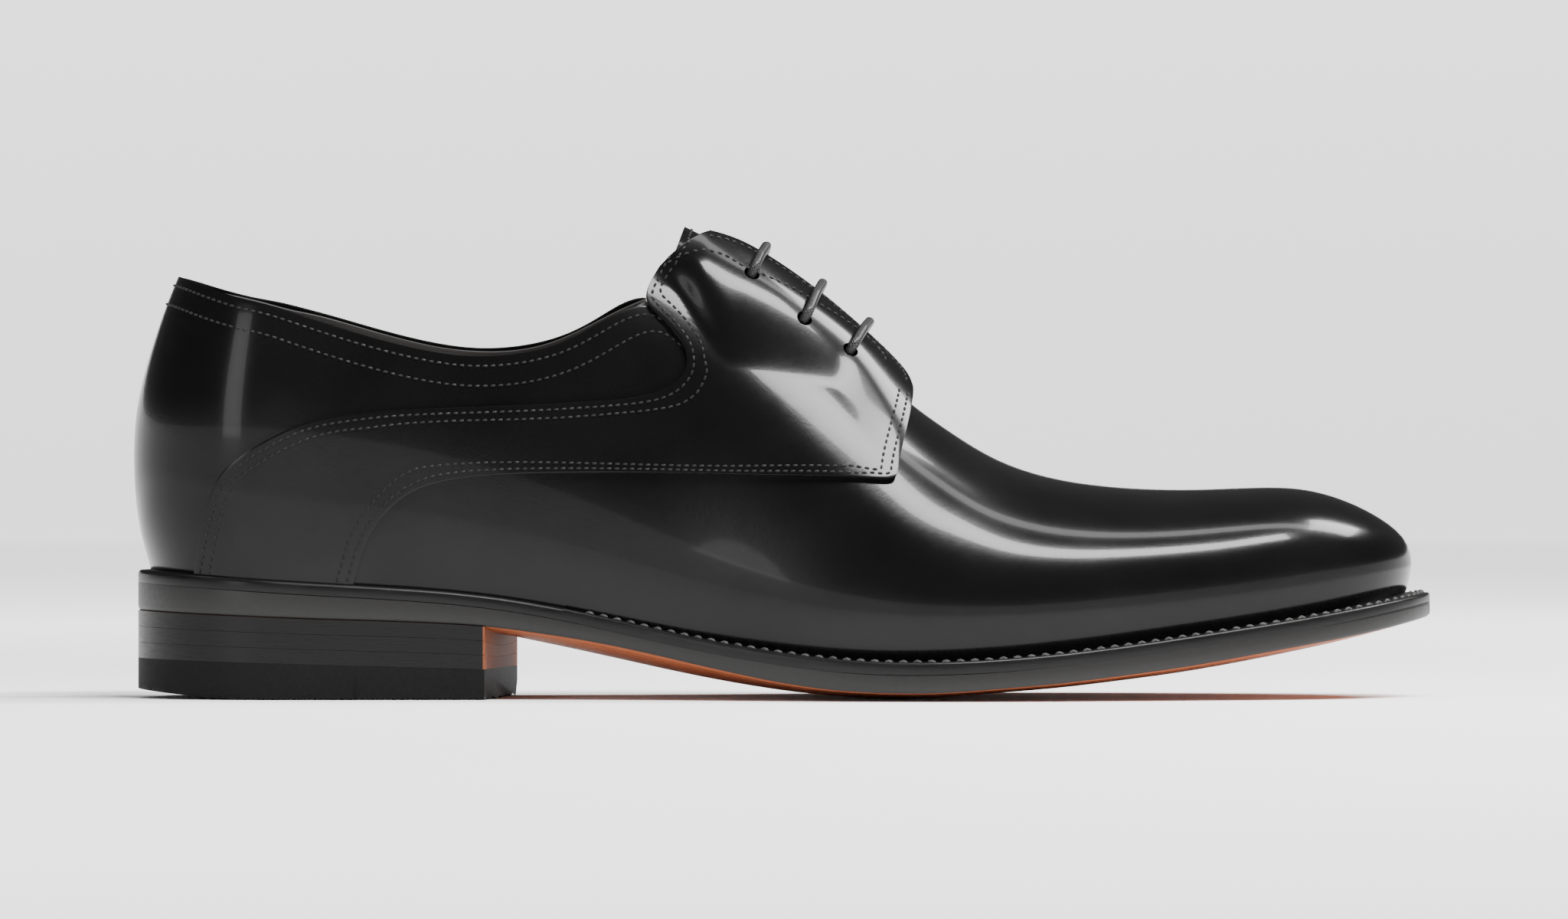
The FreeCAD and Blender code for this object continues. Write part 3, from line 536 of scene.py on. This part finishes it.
class Finish:
    """A leather, rubber, thread or metal finish on one shader."""

    def __init__(self, name, **constants):
        self.material = bpy.data.materials.new(name)
        self.material.use_nodes = True
        self.tree = self.material.node_tree
        self.shader = self.tree.nodes['Principled BSDF']
        self.place = self.node('ShaderNodeTexCoord', output='Object')
        axes = self.node('ShaderNodeSeparateXYZ', inputs={0: self.place}).socket.node.outputs
        self.x, self.y, self.z = (Value(self, axis) for axis in axes)
        self.set(**constants)

    def node(self, kind, settings=None, inputs=None, output=0):
        made = self.tree.nodes.new(kind)
        for key, value in (settings or {}).items():
            setattr(made, key, value)
        for key, value in (inputs or {}).items():
            self.put(made.inputs[key], value)
        return Value(self, made.outputs[output])

    def put(self, socket, value):
        if isinstance(value, Value):
            self.tree.links.new(value.socket, socket)
        else:
            socket.default_value = value

    def set(self, **sockets):
        for name, value in sockets.items():
            label = name.replace('_', ' ').title().replace('Ior', 'IOR')
            self.put(self.shader.inputs[label], value)

    def noise(self, size_mm, detail=3.0, stretch=None):
        at = self.place
        if stretch:
            at = self.node('ShaderNodeMapping', inputs={'Vector': at, 'Scale': stretch})
        return self.node('ShaderNodeTexNoise', inputs={'Vector': at, 'Scale': 1000 / size_mm,
                                                       'Detail': detail})

    def cells(self, size_mm):
        return self.node('ShaderNodeTexVoronoi', inputs={'Vector': self.place,
                                                         'Scale': 1000 / size_mm})

    def part_of(self, name):
        """A number that the piece carries at each of its points."""
        return self.node('ShaderNodeAttribute', {'attribute_name': name}, output='Fac')

    def blend(self, share, low, high):
        return self.node('ShaderNodeMix', {'data_type': 'RGBA'},
                         {0: share, 6: low, 7: high}, output=2)

    def bump(self, height, depth_mm, strength=1.0):
        relief = self.node('ShaderNodeBump', inputs={'Height': height, 'Strength': strength,
                                                     'Distance': depth_mm * MM})
        self.set(normal=relief)


def rgb(red, green, blue):
    return (red, green, blue, 1.0)


def polished_leather():
    f = Finish('polished_black_leather', coat_roughness=0.05, specular_ior_level=0.13)
    cloud, pores, grain = f.noise(26, 4), f.cells(0.55), f.noise(1.6, 4)
    creases = f.noise(7, 3, stretch=(1.0, 0.35, 1.0))
    f.set(base_color=f.blend(cloud, rgb(0.002, 0.002, 0.0022), rgb(0.005, 0.0048, 0.0048)),
          roughness=0.13 + cloud * 0.1 + grain * 0.04,
          coat_weight=0.06 + 0.13 * cloud)
    f.bump(pores * 0.3 + grain * 0.5 + creases * 1.5, 0.05, 0.3)
    return f.material


def lining_leather():
    f = Finish('lining_calf')
    cloud, pores = f.noise(18, 4), f.cells(0.7)
    f.set(base_color=f.blend(cloud, rgb(0.020, 0.018, 0.017), rgb(0.034, 0.031, 0.029)),
          roughness=0.5 + cloud * 0.15)
    f.bump(pores + f.noise(2.2), 0.05, 0.5)
    return f.material


def edge_dressing():
    f = Finish('dressed_edge', coat_roughness=0.2, specular_ior_level=0.15)
    layers = f.noise(0.6, 2, stretch=(0.05, 0.05, 1.0))
    f.set(base_color=f.blend(layers, rgb(0.002, 0.002, 0.002), rgb(0.007, 0.0065, 0.0065)),
          roughness=0.3 + 0.2 * layers, coat_weight=0.04 + 0.1 * f.noise(9))
    f.bump(layers + f.noise(1.5) * 0.6, 0.06, 0.5)
    return f.material


def sole_leather():
    f = Finish('oak_bark_sole', coat_roughness=0.3, specular_ior_level=0.3)
    cloud, fibre = f.noise(30, 5), f.noise(1.1, 4)
    under, inset = f.part_of('under'), f.part_of('inset')
    channel = inset.ramp(0.0042, 0.0046) * (1 - inset.ramp(0.0046, 0.0051))
    brown = f.blend(cloud, rgb(0.30, 0.075, 0.026), rgb(0.42, 0.12, 0.045))
    brown = f.blend(channel * 0.6, brown, rgb(0.10, 0.03, 0.014))
    f.set(base_color=f.blend(under.ramp(0.35, 0.65), rgb(0.010, 0.0095, 0.009), brown),
          roughness=0.38 + 0.2 * fibre, coat_weight=0.04 + 0.06 * cloud)
    f.bump(fibre * 0.5 + cloud * 0.4 - channel, 0.12, 0.6)
    return f.material


def stacked_leather():
    """Heel lifts: dressed black round the outside, bare brown across the breast."""
    f = Finish('stacked_lifts', coat_roughness=0.2, specular_ior_level=0.15)
    fibre = f.noise(0.5, 3, stretch=(0.15, 0.15, 1.0))
    breast = (f.x - f.y * 0.1).ramp((BREAST_X - 0.5) * MM, (BREAST_X - 0.25) * MM)
    brown = f.blend(fibre, rgb(0.12, 0.034, 0.014), rgb(0.28, 0.085, 0.034))
    f.set(base_color=f.blend(breast, rgb(0.004, 0.004, 0.004), brown),
          roughness=0.3 + 0.2 * fibre + 0.25 * breast, coat_weight=0.1 - 0.1 * breast)
    f.bump(fibre, 0.08, 0.6)
    return f.material


def heel_rubber():
    f = Finish('heel_rubber', specular_ior_level=0.09)
    speck = f.noise(0.8, 3)
    f.set(base_color=f.blend(speck, rgb(0.004, 0.004, 0.004), rgb(0.01, 0.01, 0.01)),
          roughness=0.52 + 0.2 * speck)
    f.bump(speck, 0.05, 0.5)
    return f.material


def metal(name, dark, light):
    f = Finish(name, metallic=1.0)
    wear = f.noise(0.9, 4)
    f.set(base_color=f.blend(wear, dark, light), roughness=0.2 + 0.25 * wear)
    f.bump(wear, 0.02, 0.4)
    return f.material


def grained(name, dark, light, size_mm, rough, relief_mm=0.1):
    """Cork, fibre board, canvas and bare leather, which hardly show."""
    f = Finish(name)
    grain, cloud = f.noise(size_mm, 5), f.cells(size_mm * 1.7)
    f.set(base_color=f.blend(grain * 0.6 + cloud * 0.5, dark, light), roughness=rough + 0.15 * grain)
    f.bump(grain + cloud * 0.7, relief_mm, 0.6)
    return f.material


def waxed_thread(name, tone):
    f = Finish(name, specular_ior_level=0.3)
    turn = ((f.x * 2600 + f.y * 2600 + f.z * 5200).math('SINE') + 1) * 0.5
    f.set(base_color=f.blend(turn, rgb(tone, tone, tone), rgb(tone * 2.6, tone * 2.5, tone * 2.4)),
          roughness=0.5 + 0.2 * turn)
    f.bump(turn, 0.08, 0.6)
    return f.material


def braid():
    """Round waxed lace: its map runs along the lace in mm and once round it."""
    f = Finish('waxed_braid', coat_roughness=0.3, specular_ior_level=0.3)
    axes = f.node('ShaderNodeSeparateXYZ', inputs={0: f.node('ShaderNodeTexCoord', output='UV')})
    along, around = (Value(f, axes.socket.node.outputs[k]) for k in (0, 1))
    left = ((along * BRAID_TURNS + around * 8.0) * (2 * math.pi)).math('SINE')
    right = ((along * BRAID_TURNS - around * 8.0) * (2 * math.pi)).math('SINE')
    weave = left.math('MAXIMUM', right) * 0.5 + 0.5
    f.set(base_color=f.blend(weave, rgb(0.002, 0.002, 0.002), rgb(0.012, 0.012, 0.0125)),
          roughness=0.5 - 0.18 * weave, coat_weight=0.1 + 0.15 * weave)
    f.bump(weave, 0.16, 0.9)
    return f.material


black_leather, calf = polished_leather(), lining_leather()
edge_black, sole_brown, lift_leather = edge_dressing(), sole_leather(), stacked_leather()
rubber = heel_rubber()
thread, welt_thread = waxed_thread('seam_thread', 0.002), waxed_thread('welt_thread', 0.02)
brass = metal('worn_brass', rgb(0.36, 0.23, 0.08), rgb(0.62, 0.44, 0.18))
steel = metal('shank_steel', rgb(0.30, 0.30, 0.31), rgb(0.52, 0.52, 0.54))
aglet_black = metal('aglet_black', rgb(0.02, 0.02, 0.022), rgb(0.05, 0.05, 0.055))
cork = grained('ground_cork', rgb(0.16, 0.075, 0.03), rgb(0.42, 0.25, 0.12), 1.4, 0.75)
board = grained('stiffener_board', rgb(0.30, 0.24, 0.17), rgb(0.42, 0.35, 0.26), 0.8, 0.8)
canvas = grained('rib_canvas', rgb(0.42, 0.38, 0.30), rgb(0.62, 0.58, 0.48), 0.5, 0.85)
insole_tan = grained('insole_shoulder', rgb(0.24, 0.13, 0.07), rgb(0.36, 0.21, 0.12), 2.4, 0.5, 0.05)

# ---- the upper ----
vamp = strip(both_sides(vamp_foot), both_sides(vamp_edge), 301, 72)
quarters = {side: strip(quarter_low(side), quarter_high(side), 300, 56) for side in (LATERAL, MEDIAL)}
back_panel = strip(both_sides(back_panel_low), both_sides(back_panel_high), 281, 52)
quarter_lining = strip(both_sides(lining_low), both_sides(lining_high), 281, 52)
tongue = tongue_places()


def on_lining(station, tilt, side):
    """A place on the outer face of the quarter lining."""
    spot = arch(np.array([station], float), np.array([tilt], float), side)[1]
    return (spot + normal(spot) * facing_lining_depth(spot)[..., None])[0]


def eyelet(k, side):
    """An eyelet's place on the lining's outer face, and the way out, square to the lining."""
    station, tilt = EYELETS[k]
    along = on_lining(station + 1, tilt, side) - on_lining(station - 1, tilt, side)
    across = on_lining(station, tilt + 2, side) - on_lining(station, tilt - 2, side)
    up = unit(np.cross(along, across))
    return on_lining(station, tilt, side), up if up[2] > 0 else -up


def punch(piece, sides, radius):
    """Punches the lace holes through a quarter or the lining."""
    for k in range(len(EYELETS)):
        for side in sides:
            spot, up = eyelet(k, side)
            deselect()
            bpy.ops.mesh.primitive_cylinder_add(vertices=40, radius=radius * MM, depth=12 * MM)
            cutter = bpy.context.object
            turn = Vector(UP).rotation_difference(Vector(up)).to_matrix().to_4x4()
            cutter.data.transform(Matrix.Translation(Vector(spot) * MM) @ turn)
            apply_modifier(piece, 'BOOLEAN', operation='DIFFERENCE', solver='EXACT', object=cutter)
            bpy.data.objects.remove(cutter)
    return piece


def sew_upper():
    def upper(node, grid, depth, sides=(), body='shoe'):
        piece = leather(node + '_leather', grid, depth, UPPER_THICK)
        finish_piece(punch(piece, sides, HOLE_R), body, black_leather, (node,))

    def lining(node, grid, depth, sides=(), body='shoe'):
        piece = leather(node + '_leather', grid, depth, LINING_THICK, 0.15)
        finish_piece(punch(piece, sides, LINING_HOLE_R), body, calf, (node,))

    def under_tongue(p):
        return tongue_depth(p) - UPPER_THICK - GLUE

    upper('vamp', vamp, on_last)
    lining('vamp_lining', vamp, lining_depth)
    upper('quarter_lateral', quarters[LATERAL], quarter_depth, [LATERAL])
    upper('quarter_medial', quarters[MEDIAL], quarter_depth, [MEDIAL])
    upper('back_panel', back_panel, on_last)
    lining('quarter_lining', quarter_lining, facing_lining_depth, [LATERAL, MEDIAL])
    upper('tongue', tongue, tongue_depth, body='tongue_flap')
    lining('tongue_lining', tongue_places(inset=0.7), under_tongue, body='tongue_flap')


def edge_run(grid, inset, first=0.0, last=1.0):
    """Places along a seam, inset from the grid's first column, between two shares of its length."""
    rows = np.arange(len(grid), dtype=float)
    points = sample(grid, rows, inside_edge(grid, inset))
    start, end = int(first * (len(grid) - 1)), int(last * (len(grid) - 1)) + 1
    return points[start:end]


def sew_seams():
    quarter_runs = []
    for grid in quarters.values():
        for inset in (1.6, 3.9):
            quarter_runs.append(edge_run(grid, inset, 0.0, 0.62))
            quarter_runs.append(edge_run(grid[:, ::-1], inset))
        quarter_runs.append(edge_run(grid, 2.0, 0.66, 0.985))
        quarter_runs.append(edge_run(grid, 7.5, 0.70, 0.985))
    back_runs = [edge_run(back_panel[:, ::-1], inset, 0.03, 0.97) for inset in (2.3, 7.0)]
    tongue_runs = [edge_run(tongue, 1.8, 0.25, 0.97), edge_run(tongue[:, ::-1], 1.8, 0.25, 0.97),
                   edge_run(tongue[::-1].transpose(1, 0, 2), 1.8, 0.04, 0.96)]
    for name, runs, depth, body in (('quarter_seams', quarter_runs, quarter_depth, 'shoe'),
                                    ('back_seams', back_runs, on_last, 'shoe'),
                                    ('tongue_seams', tongue_runs, tongue_depth, 'tongue_flap')):
        piece = stitch_row(name, [even_run(run, SEAM_PITCH) for run in runs], depth,
                           SEAM_LENGTH, SEAM_R)
        finish_piece(piece, body, thread)


# ---- the bottom ----
def bottom_ring():
    """Points round the foot of the upper from the heel round to the heel, and the ways out."""
    stations = np.concatenate([HEEL_CENTRE_X - ROUND * np.linspace(0.985, 0.02, 44),
                               np.linspace(HEEL_CENTRE_X, TOE_CENTRE_X, 130),
                               TOE_CENTRE_X + ROUND * np.linspace(0.02, 0.985, 56)])
    lateral, medial = (foot(stations, side, 0)[1] for side in (LATERAL, MEDIAL))
    ring = np.concatenate([lateral, medial[::-1]])
    run = np.roll(ring, -1, axis=0) - np.roll(ring, 1, axis=0)
    away = unit(np.stack([run[:, 1], -run[:, 0], 0 * run[:, 0]], -1))
    return ring * [1, 1, 0], away


ring, away = bottom_ring()
half_ring = len(ring) // 2


def sole_bottom(p):
    """Height of the sole's underside, a little higher at its edges than along its middle."""
    x, y = p[..., 0], p[..., 1]
    across = (y - centre_y(x)) / (0.5 * (lateral_width(x) + medial_width(x)))
    return sole_line(x) + crown(x) * np.minimum(across * across, 1.5)


def edge_rows(keep, section):
    """Sections of a strip round the edge; section gives (out, height above the welt's top)."""
    rows = []
    for k in keep:
        reach = float(welt_reach(ring[k, 0]))
        height = float(welt_top(ring[k, 0]))
        rows.append([ring[k] + away[k] * out + UP * (height + rise) for out, rise in section(reach)])
    return np.array(rows)


def lay_welt():
    def welt_section(r):
        return [(-4, -3), (r - 0.3, -3), (r - 0.06, -2.93), (r, -2.75), (r, -0.7), (r - 0.12, -0.3),
                (r - 0.4, -0.06), (r - 0.9, 0), (0.5, 0.02), (-4, 0)]

    def rand_section(r):
        return [(-4, -3), (r - 0.3, -3), (r - 0.06, -2.93), (r, -2.75), (r, -1.0),
                (r - 0.2, -0.42), (r - 0.7, -0.1), (0.3, 0.03), (-4, 0.03)]

    order = np.arange(len(ring))
    front = [k for k in order if ring[k, 0] > WELT_END_X]
    lap = 1.4
    rear = [k for k in np.roll(order, half_ring) if ring[k, 0] <= WELT_END_X + lap]
    finish_piece(swept('stitched_welt', edge_rows(front, welt_section)), 'shoe', edge_black,
                 ('welt',), 50)
    finish_piece(swept('heel_seat_rand', edge_rows(rear, rand_section)), 'shoe', edge_black,
                 ('heel_rand',), 50)

    run = [k for k in front if ring[k, 0] > WELT_END_X + 4]
    line = np.array([ring[k] + away[k] * (welt_reach(ring[k, 0]) - 1.8) + UP * welt_top(ring[k, 0])
                     for k in run])
    spots, ways = even_run(line, WELT_PITCH)
    piece = stitch_row('welt_stitches', [(spots, ways)], None, WELT_LENGTH, WELT_STITCH_R, 0.12)
    finish_piece(piece, 'shoe', welt_thread, ('welt_stitch',))


def bottom_piece(name, inset, shown, hidden, edge, keep=lambda x: True):
    """A flat piece of the bottom: rows across its shown face, and an edge section round it.

    The section's points are (out, share of the way from the shown face to the hidden one).
    """
    rows, under, inner = [], [], []
    t = np.linspace(0, 1, 28)[1:-1, None]
    blank = [0.0] * len(edge)
    for k in range(half_ring):
        if not keep(ring[k, 0]):
            continue
        tips = []
        for i in (k, len(ring) - 1 - k):
            reach = inset(ring[i, 0])
            side = []
            for out, share in edge:
                p = ring[i] + away[i] * (reach + out)
                side.append(p + UP * (shown(p) * (1 - share) + hidden(p) * share))
            tips.append(side)
        base = tips[1][-1] * (1 - t) + tips[0][-1] * t
        base[:, 2] = shown(base)
        rows.append(tips[1] + list(base) + tips[0][::-1])
        across = np.minimum(t, 1 - t)[:, 0] * np.linalg.norm(tips[1][-1] - tips[0][-1])
        bare = 0.0 if k in (0, half_ring - 1) else 1.0
        under += blank[:-1] + [0.5 * bare] + [bare] * len(t) + [0.5 * bare] + blank[1:]
        inner += blank + list(across * MM) + blank
    piece = swept(name, np.array(rows))
    for label, numbers in (('under', under), ('inset', inner)):
        field = piece.data.attributes.new(label, 'FLOAT', 'POINT')
        field.data.foreach_set('value', numbers)
    return piece


def heel_tread():
    """The rubber top piece, with fine saw teeth across its underside."""
    rubber_piece = bpy.data.objects.new('heel_tread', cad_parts['top_piece'].data.copy())
    bpy.context.scene.collection.objects.link(rubber_piece)
    take(rubber_piece)
    bpy.ops.object.mode_set(mode='EDIT')
    bpy.ops.mesh.select_all(action='SELECT')
    bpy.ops.mesh.remove_doubles(threshold=1e-6)
    bpy.ops.object.mode_set(mode='OBJECT')
    tooth = ((-0.7, -0.3), (0.7, -0.3), (0, 0.5))
    verts, faces = [], []
    for x in np.arange(-125, -62, 1.2):
        first = len(verts)
        verts += [(x + dx, y, z) for y in (-45, 45) for dx, z in tooth]
        faces += [tuple(first + k for k in face) for face in
                  ((0, 1, 2), (5, 4, 3), (0, 3, 4, 1), (1, 4, 5, 2), (2, 5, 3, 0))]
    cutter = mesh_piece('saw_teeth', np.array(verts) * MM, faces)
    apply_modifier(rubber_piece, 'BOOLEAN', operation='DIFFERENCE', solver='EXACT', object=cutter)
    bpy.data.objects.remove(cutter)
    finish_piece(rubber_piece, 'shoe', rubber, ('top_piece',), 25)


def build_bottom():
    sole_edge = [(-2.5, 1), (-0.2, 1), (-0.04, 0.985), (0, 0.95), (0, 0.5), (0, 0.2),
                 (-0.15, 0.07), (-0.5, 0.0)]

    def above(rise):
        return lambda p: welt_top(p[..., 0]) + rise

    piece = bottom_piece('leather_outsole', welt_reach, sole_bottom, above(-WELT_THICK - 0.03),
                         sole_edge)
    finish_piece(piece, 'shoe', sole_brown, ('outsole',), 40)
    inside = -(UPPER_THICK + LINING_THICK + STIFFENER_THICK + 3 * GLUE) - 0.35
    board_edge = [(-0.6, 0), (-0.1, 0.1), (0, 0.5), (-0.1, 0.9), (-0.6, 1)]
    piece = bottom_piece('insole_board', lambda x: inside, above(INSOLE_THICK), above(0), board_edge)
    finish_piece(piece, 'shoe', insole_tan, ('insole',), 40)
    sock_low = INSOLE_THICK + 0.05
    piece = bottom_piece('heel_sock_leather', lambda x: inside - 0.4, above(sock_low + SOCK_THICK),
                         above(sock_low), board_edge, lambda x: x < -58)
    finish_piece(piece, 'shoe', calf, ('heel_sock',), 40)


# ---- lacing ----
def lace_corners(k, side):
    """The lace's corners under an eyelet, over it, and on the facing toward the middle."""
    spot, up = eyelet(k, side)
    top = GLUE + UPPER_THICK + LACE_R + 0.8
    under = -LINING_THICK - EYELET_GAP - EYELET_FLANGE - LACE_R - 0.2
    station, tilt = EYELETS[k]
    rise = []
    for ahead, turn, clear in ((0.7, (tilt + 7.5) / 2, 0.7), (1.5, 7.5, 0.9)):
        over = arch(np.array([station + ahead]), np.array([turn]), side)[1]
        rise.append((over + normal(over) * (quarter_depth(over)[..., None] + LACE_R + clear))[0])
    return [spot + up * under, spot + up * top] + rise


def under_facing(station, tilt, side):
    """A place midway between the tongue and the facing's lining."""
    spot = arch(np.array([station]), np.array([float(tilt)]), side)[1]
    middle = (facing_lining_depth(spot) - LINING_THICK + tongue_depth(spot)) / 2
    return (spot + normal(spot) * middle[..., None])[0]


def lace_route():
    """The lace's middle line: three bars over the facings, with arcs round the corners."""
    def bar(k, side):
        return lace_corners(k, side) + lace_corners(k, -side)[::-1]

    points = [under_facing(EYELETS[0][0] - 13.5, 11.5, LATERAL)] + bar(0, LATERAL) + \
        bar(1, MEDIAL) + bar(2, LATERAL) + [under_facing(EYELETS[2][0] - 12.4, 16, MEDIAL)]
    over_bars = [1.9, 6, 9, 9, 6, 1.9]
    radii = [1.7] + over_bars + ([1.7, 1.7] + over_bars) * 2 + [1.7]
    run = [points[0]]
    for back, corner, ahead, radius in zip(points, points[1:], points[2:], radii):
        back, ahead = unit(back - corner), unit(ahead - corner)
        half = math.acos(float(np.clip(back @ ahead, -1, 1))) / 2
        centre = corner + unit(back + ahead) * radius / math.sin(half)
        a, b = (corner + way * radius / math.tan(half) - centre for way in (back, ahead))
        turn = math.acos(float(np.clip(a @ b / radius ** 2, -1, 1)))
        for t in np.linspace(0, 1, 12):
            share = np.array([math.sin((1 - t) * turn), math.sin(t * turn)]) / math.sin(turn)
            run.append(centre + a * share[0] + b * share[1])
    run.append(points[-1])
    return np.array(run)


def thread_lace():
    route = lace_route()
    far = np.concatenate([[0], np.cumsum(np.linalg.norm(np.diff(route, axis=0), axis=1))])
    t = np.arange(0, far[-1], 0.35)
    line = np.stack([np.interp(t, far, route[:, k]) for k in range(3)], -1)
    ways = unit(np.gradient(line, axis=0))
    side = unit(np.cross(ways[0], UP))
    sides = []
    for way in ways:
        side = unit(side - way * (side @ way))
        sides.append(side)
    sides = np.array(sides)
    ups = np.cross(ways, sides)
    turns = np.linspace(0, 2 * math.pi, BRAID_SIDES, endpoint=False)
    weave = BRAID_RELIEF * np.sin(2 * math.pi * (t[:, None] * BRAID_TURNS / 2 + turns * 4 / math.pi)) * \
        np.sin(2 * math.pi * (t[:, None] * BRAID_TURNS / 2 - turns * 4 / math.pi))
    radius = BRAID_R + weave
    rows = line[:, None] + radius[..., None] * (np.cos(turns)[None, :, None] * sides[:, None]
                                                + np.sin(turns)[None, :, None] * ups[:, None])
    piece = swept('braided_lace', rows)
    sheet = piece.data.uv_layers.new(name='along_the_lace')
    for face in piece.data.polygons:
        around = [v % BRAID_SIDES for v in face.vertices]
        wraps = max(around) - min(around) > BRAID_SIDES / 2
        for corner, v, k in zip(face.loop_indices, face.vertices, around):
            k += BRAID_SIDES if wraps and k < BRAID_SIDES / 2 else 0
            sheet.data[corner].uv = (t[v // BRAID_SIDES], k / BRAID_SIDES)
    finish_piece(piece, 'shoe', braid(), ('lace',), 180)


# ---- nodes that keep the frame's own shapes: metal, board, cork, canvas and heel lifts ----
def dress_frame():
    for nodes, material in (
            (('heel_lift_1', 'heel_lift_2', 'heel_lift_3'), lift_leather),
            (('heel_nails', 'top_piece_pins'), brass),
            (('eyelets_lateral', 'eyelets_medial'), aglet_black),
            (('shank',), steel), (('cork_filler',), cork), (('insole_rib',), canvas),
            (('heel_stiffener', 'toe_puff'), board), (('lace_aglets',), aglet_black)):
        for node in nodes:
            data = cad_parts[node].data
            data.materials.clear()
            data.materials.append(material)


# ---- studio ----
def softbox(name, place, aim, width, height, power):
    light = bpy.data.lights.new(name, 'AREA')
    light.shape, light.size, light.size_y = 'RECTANGLE', width, height
    light.energy = power
    box = bpy.data.objects.new(name, light)
    box.location = place
    box.rotation_euler = (Vector(aim) - Vector(place)).to_track_quat('-Z', 'Y').to_euler()
    bpy.context.scene.collection.objects.link(box)


def lay_floor():
    """A round sheet of pale paper that turns up at its rim and glows softly away from the shoe."""
    flat_reach, rim, flat_share = 5.2, 0.6, 0.7
    deselect()
    bpy.ops.mesh.primitive_grid_add(x_subdivisions=128, y_subdivisions=48, size=1)
    floor = bpy.context.object
    floor.name = 'pale_floor'
    for v in floor.data.vertices:
        turn, out = 2 * math.pi * (v.co.x + 0.5), v.co.y + 0.5
        bend = max(out - flat_share, 0) / (1 - flat_share) * math.pi / 2
        reach = min(out / flat_share, 1) * flat_reach + rim * math.sin(bend)
        v.co = (reach * math.cos(turn), reach * math.sin(turn), rim * (1 - math.cos(bend)))
    bpy.ops.object.mode_set(mode='EDIT')
    bpy.ops.mesh.select_all(action='SELECT')
    bpy.ops.mesh.remove_doubles(threshold=0.0001)
    bpy.ops.mesh.normals_make_consistent(inside=True)
    bpy.ops.object.mode_set(mode='OBJECT')
    f = Finish('pale_floor_paper', roughness=0.9, emission_strength=1.6)
    away = (f.x * f.x + f.y * f.y).math('SQRT').ramp(0.3, 1.3)
    f.set(base_color=f.blend(f.noise(400, 2), rgb(0.90, 0.90, 0.90), rgb(0.93, 0.93, 0.93)),
          emission_color=f.blend(away, rgb(0, 0, 0), rgb(0.9, 0.9, 0.9)))
    floor.data.materials.append(f.material)
    bpy.ops.object.shade_smooth()


def light_studio():
    world = bpy.data.worlds.new('soft_room')
    world.use_nodes = True
    colour, strength = world.node_tree.nodes['Background'].inputs[:2]
    colour.default_value, strength.default_value = (1, 1, 1, 1), 0.08
    bpy.context.scene.world = world
    softbox('over_the_vamp', (0.35, -0.42, 1.05), (0.03, 0, 0.05), 0.8, 0.22, 34)
    softbox('over_the_facing', (0.95, 0.42, 1.15), (0, 0, 0.08), 0.5, 0.5, 30)
    softbox('low_heel_side', (-0.85, -1.2, 0.45), (-0.1, 0, 0.05), 0.35, 0.6, 3.5)
    softbox('paper_wash', (0, 0.3, 1.7), (0, 1.6, 0.2), 2.2, 0.4, 30)


def place_camera():
    """A long lens, level with the middle of the shoe, square to its lateral side."""
    distance, view_width = 2600, 368.6
    camera = bpy.data.cameras.new('camera')
    camera.sensor_width, camera.lens = 36.0, 36.0 * distance / view_width
    camera.clip_end = 20
    eye = bpy.data.objects.new('camera', camera)
    eye.location = (-0.00065, -distance * MM, 0.05585)
    eye.rotation_euler = (math.pi / 2, 0, 0)
    bpy.context.scene.collection.objects.link(eye)
    bpy.context.scene.camera = eye


sew_upper()
sew_seams()
lay_welt()
build_bottom()
heel_tread()
thread_lace()
dress_frame()
lay_floor()
light_studio()
place_camera()
deselect()
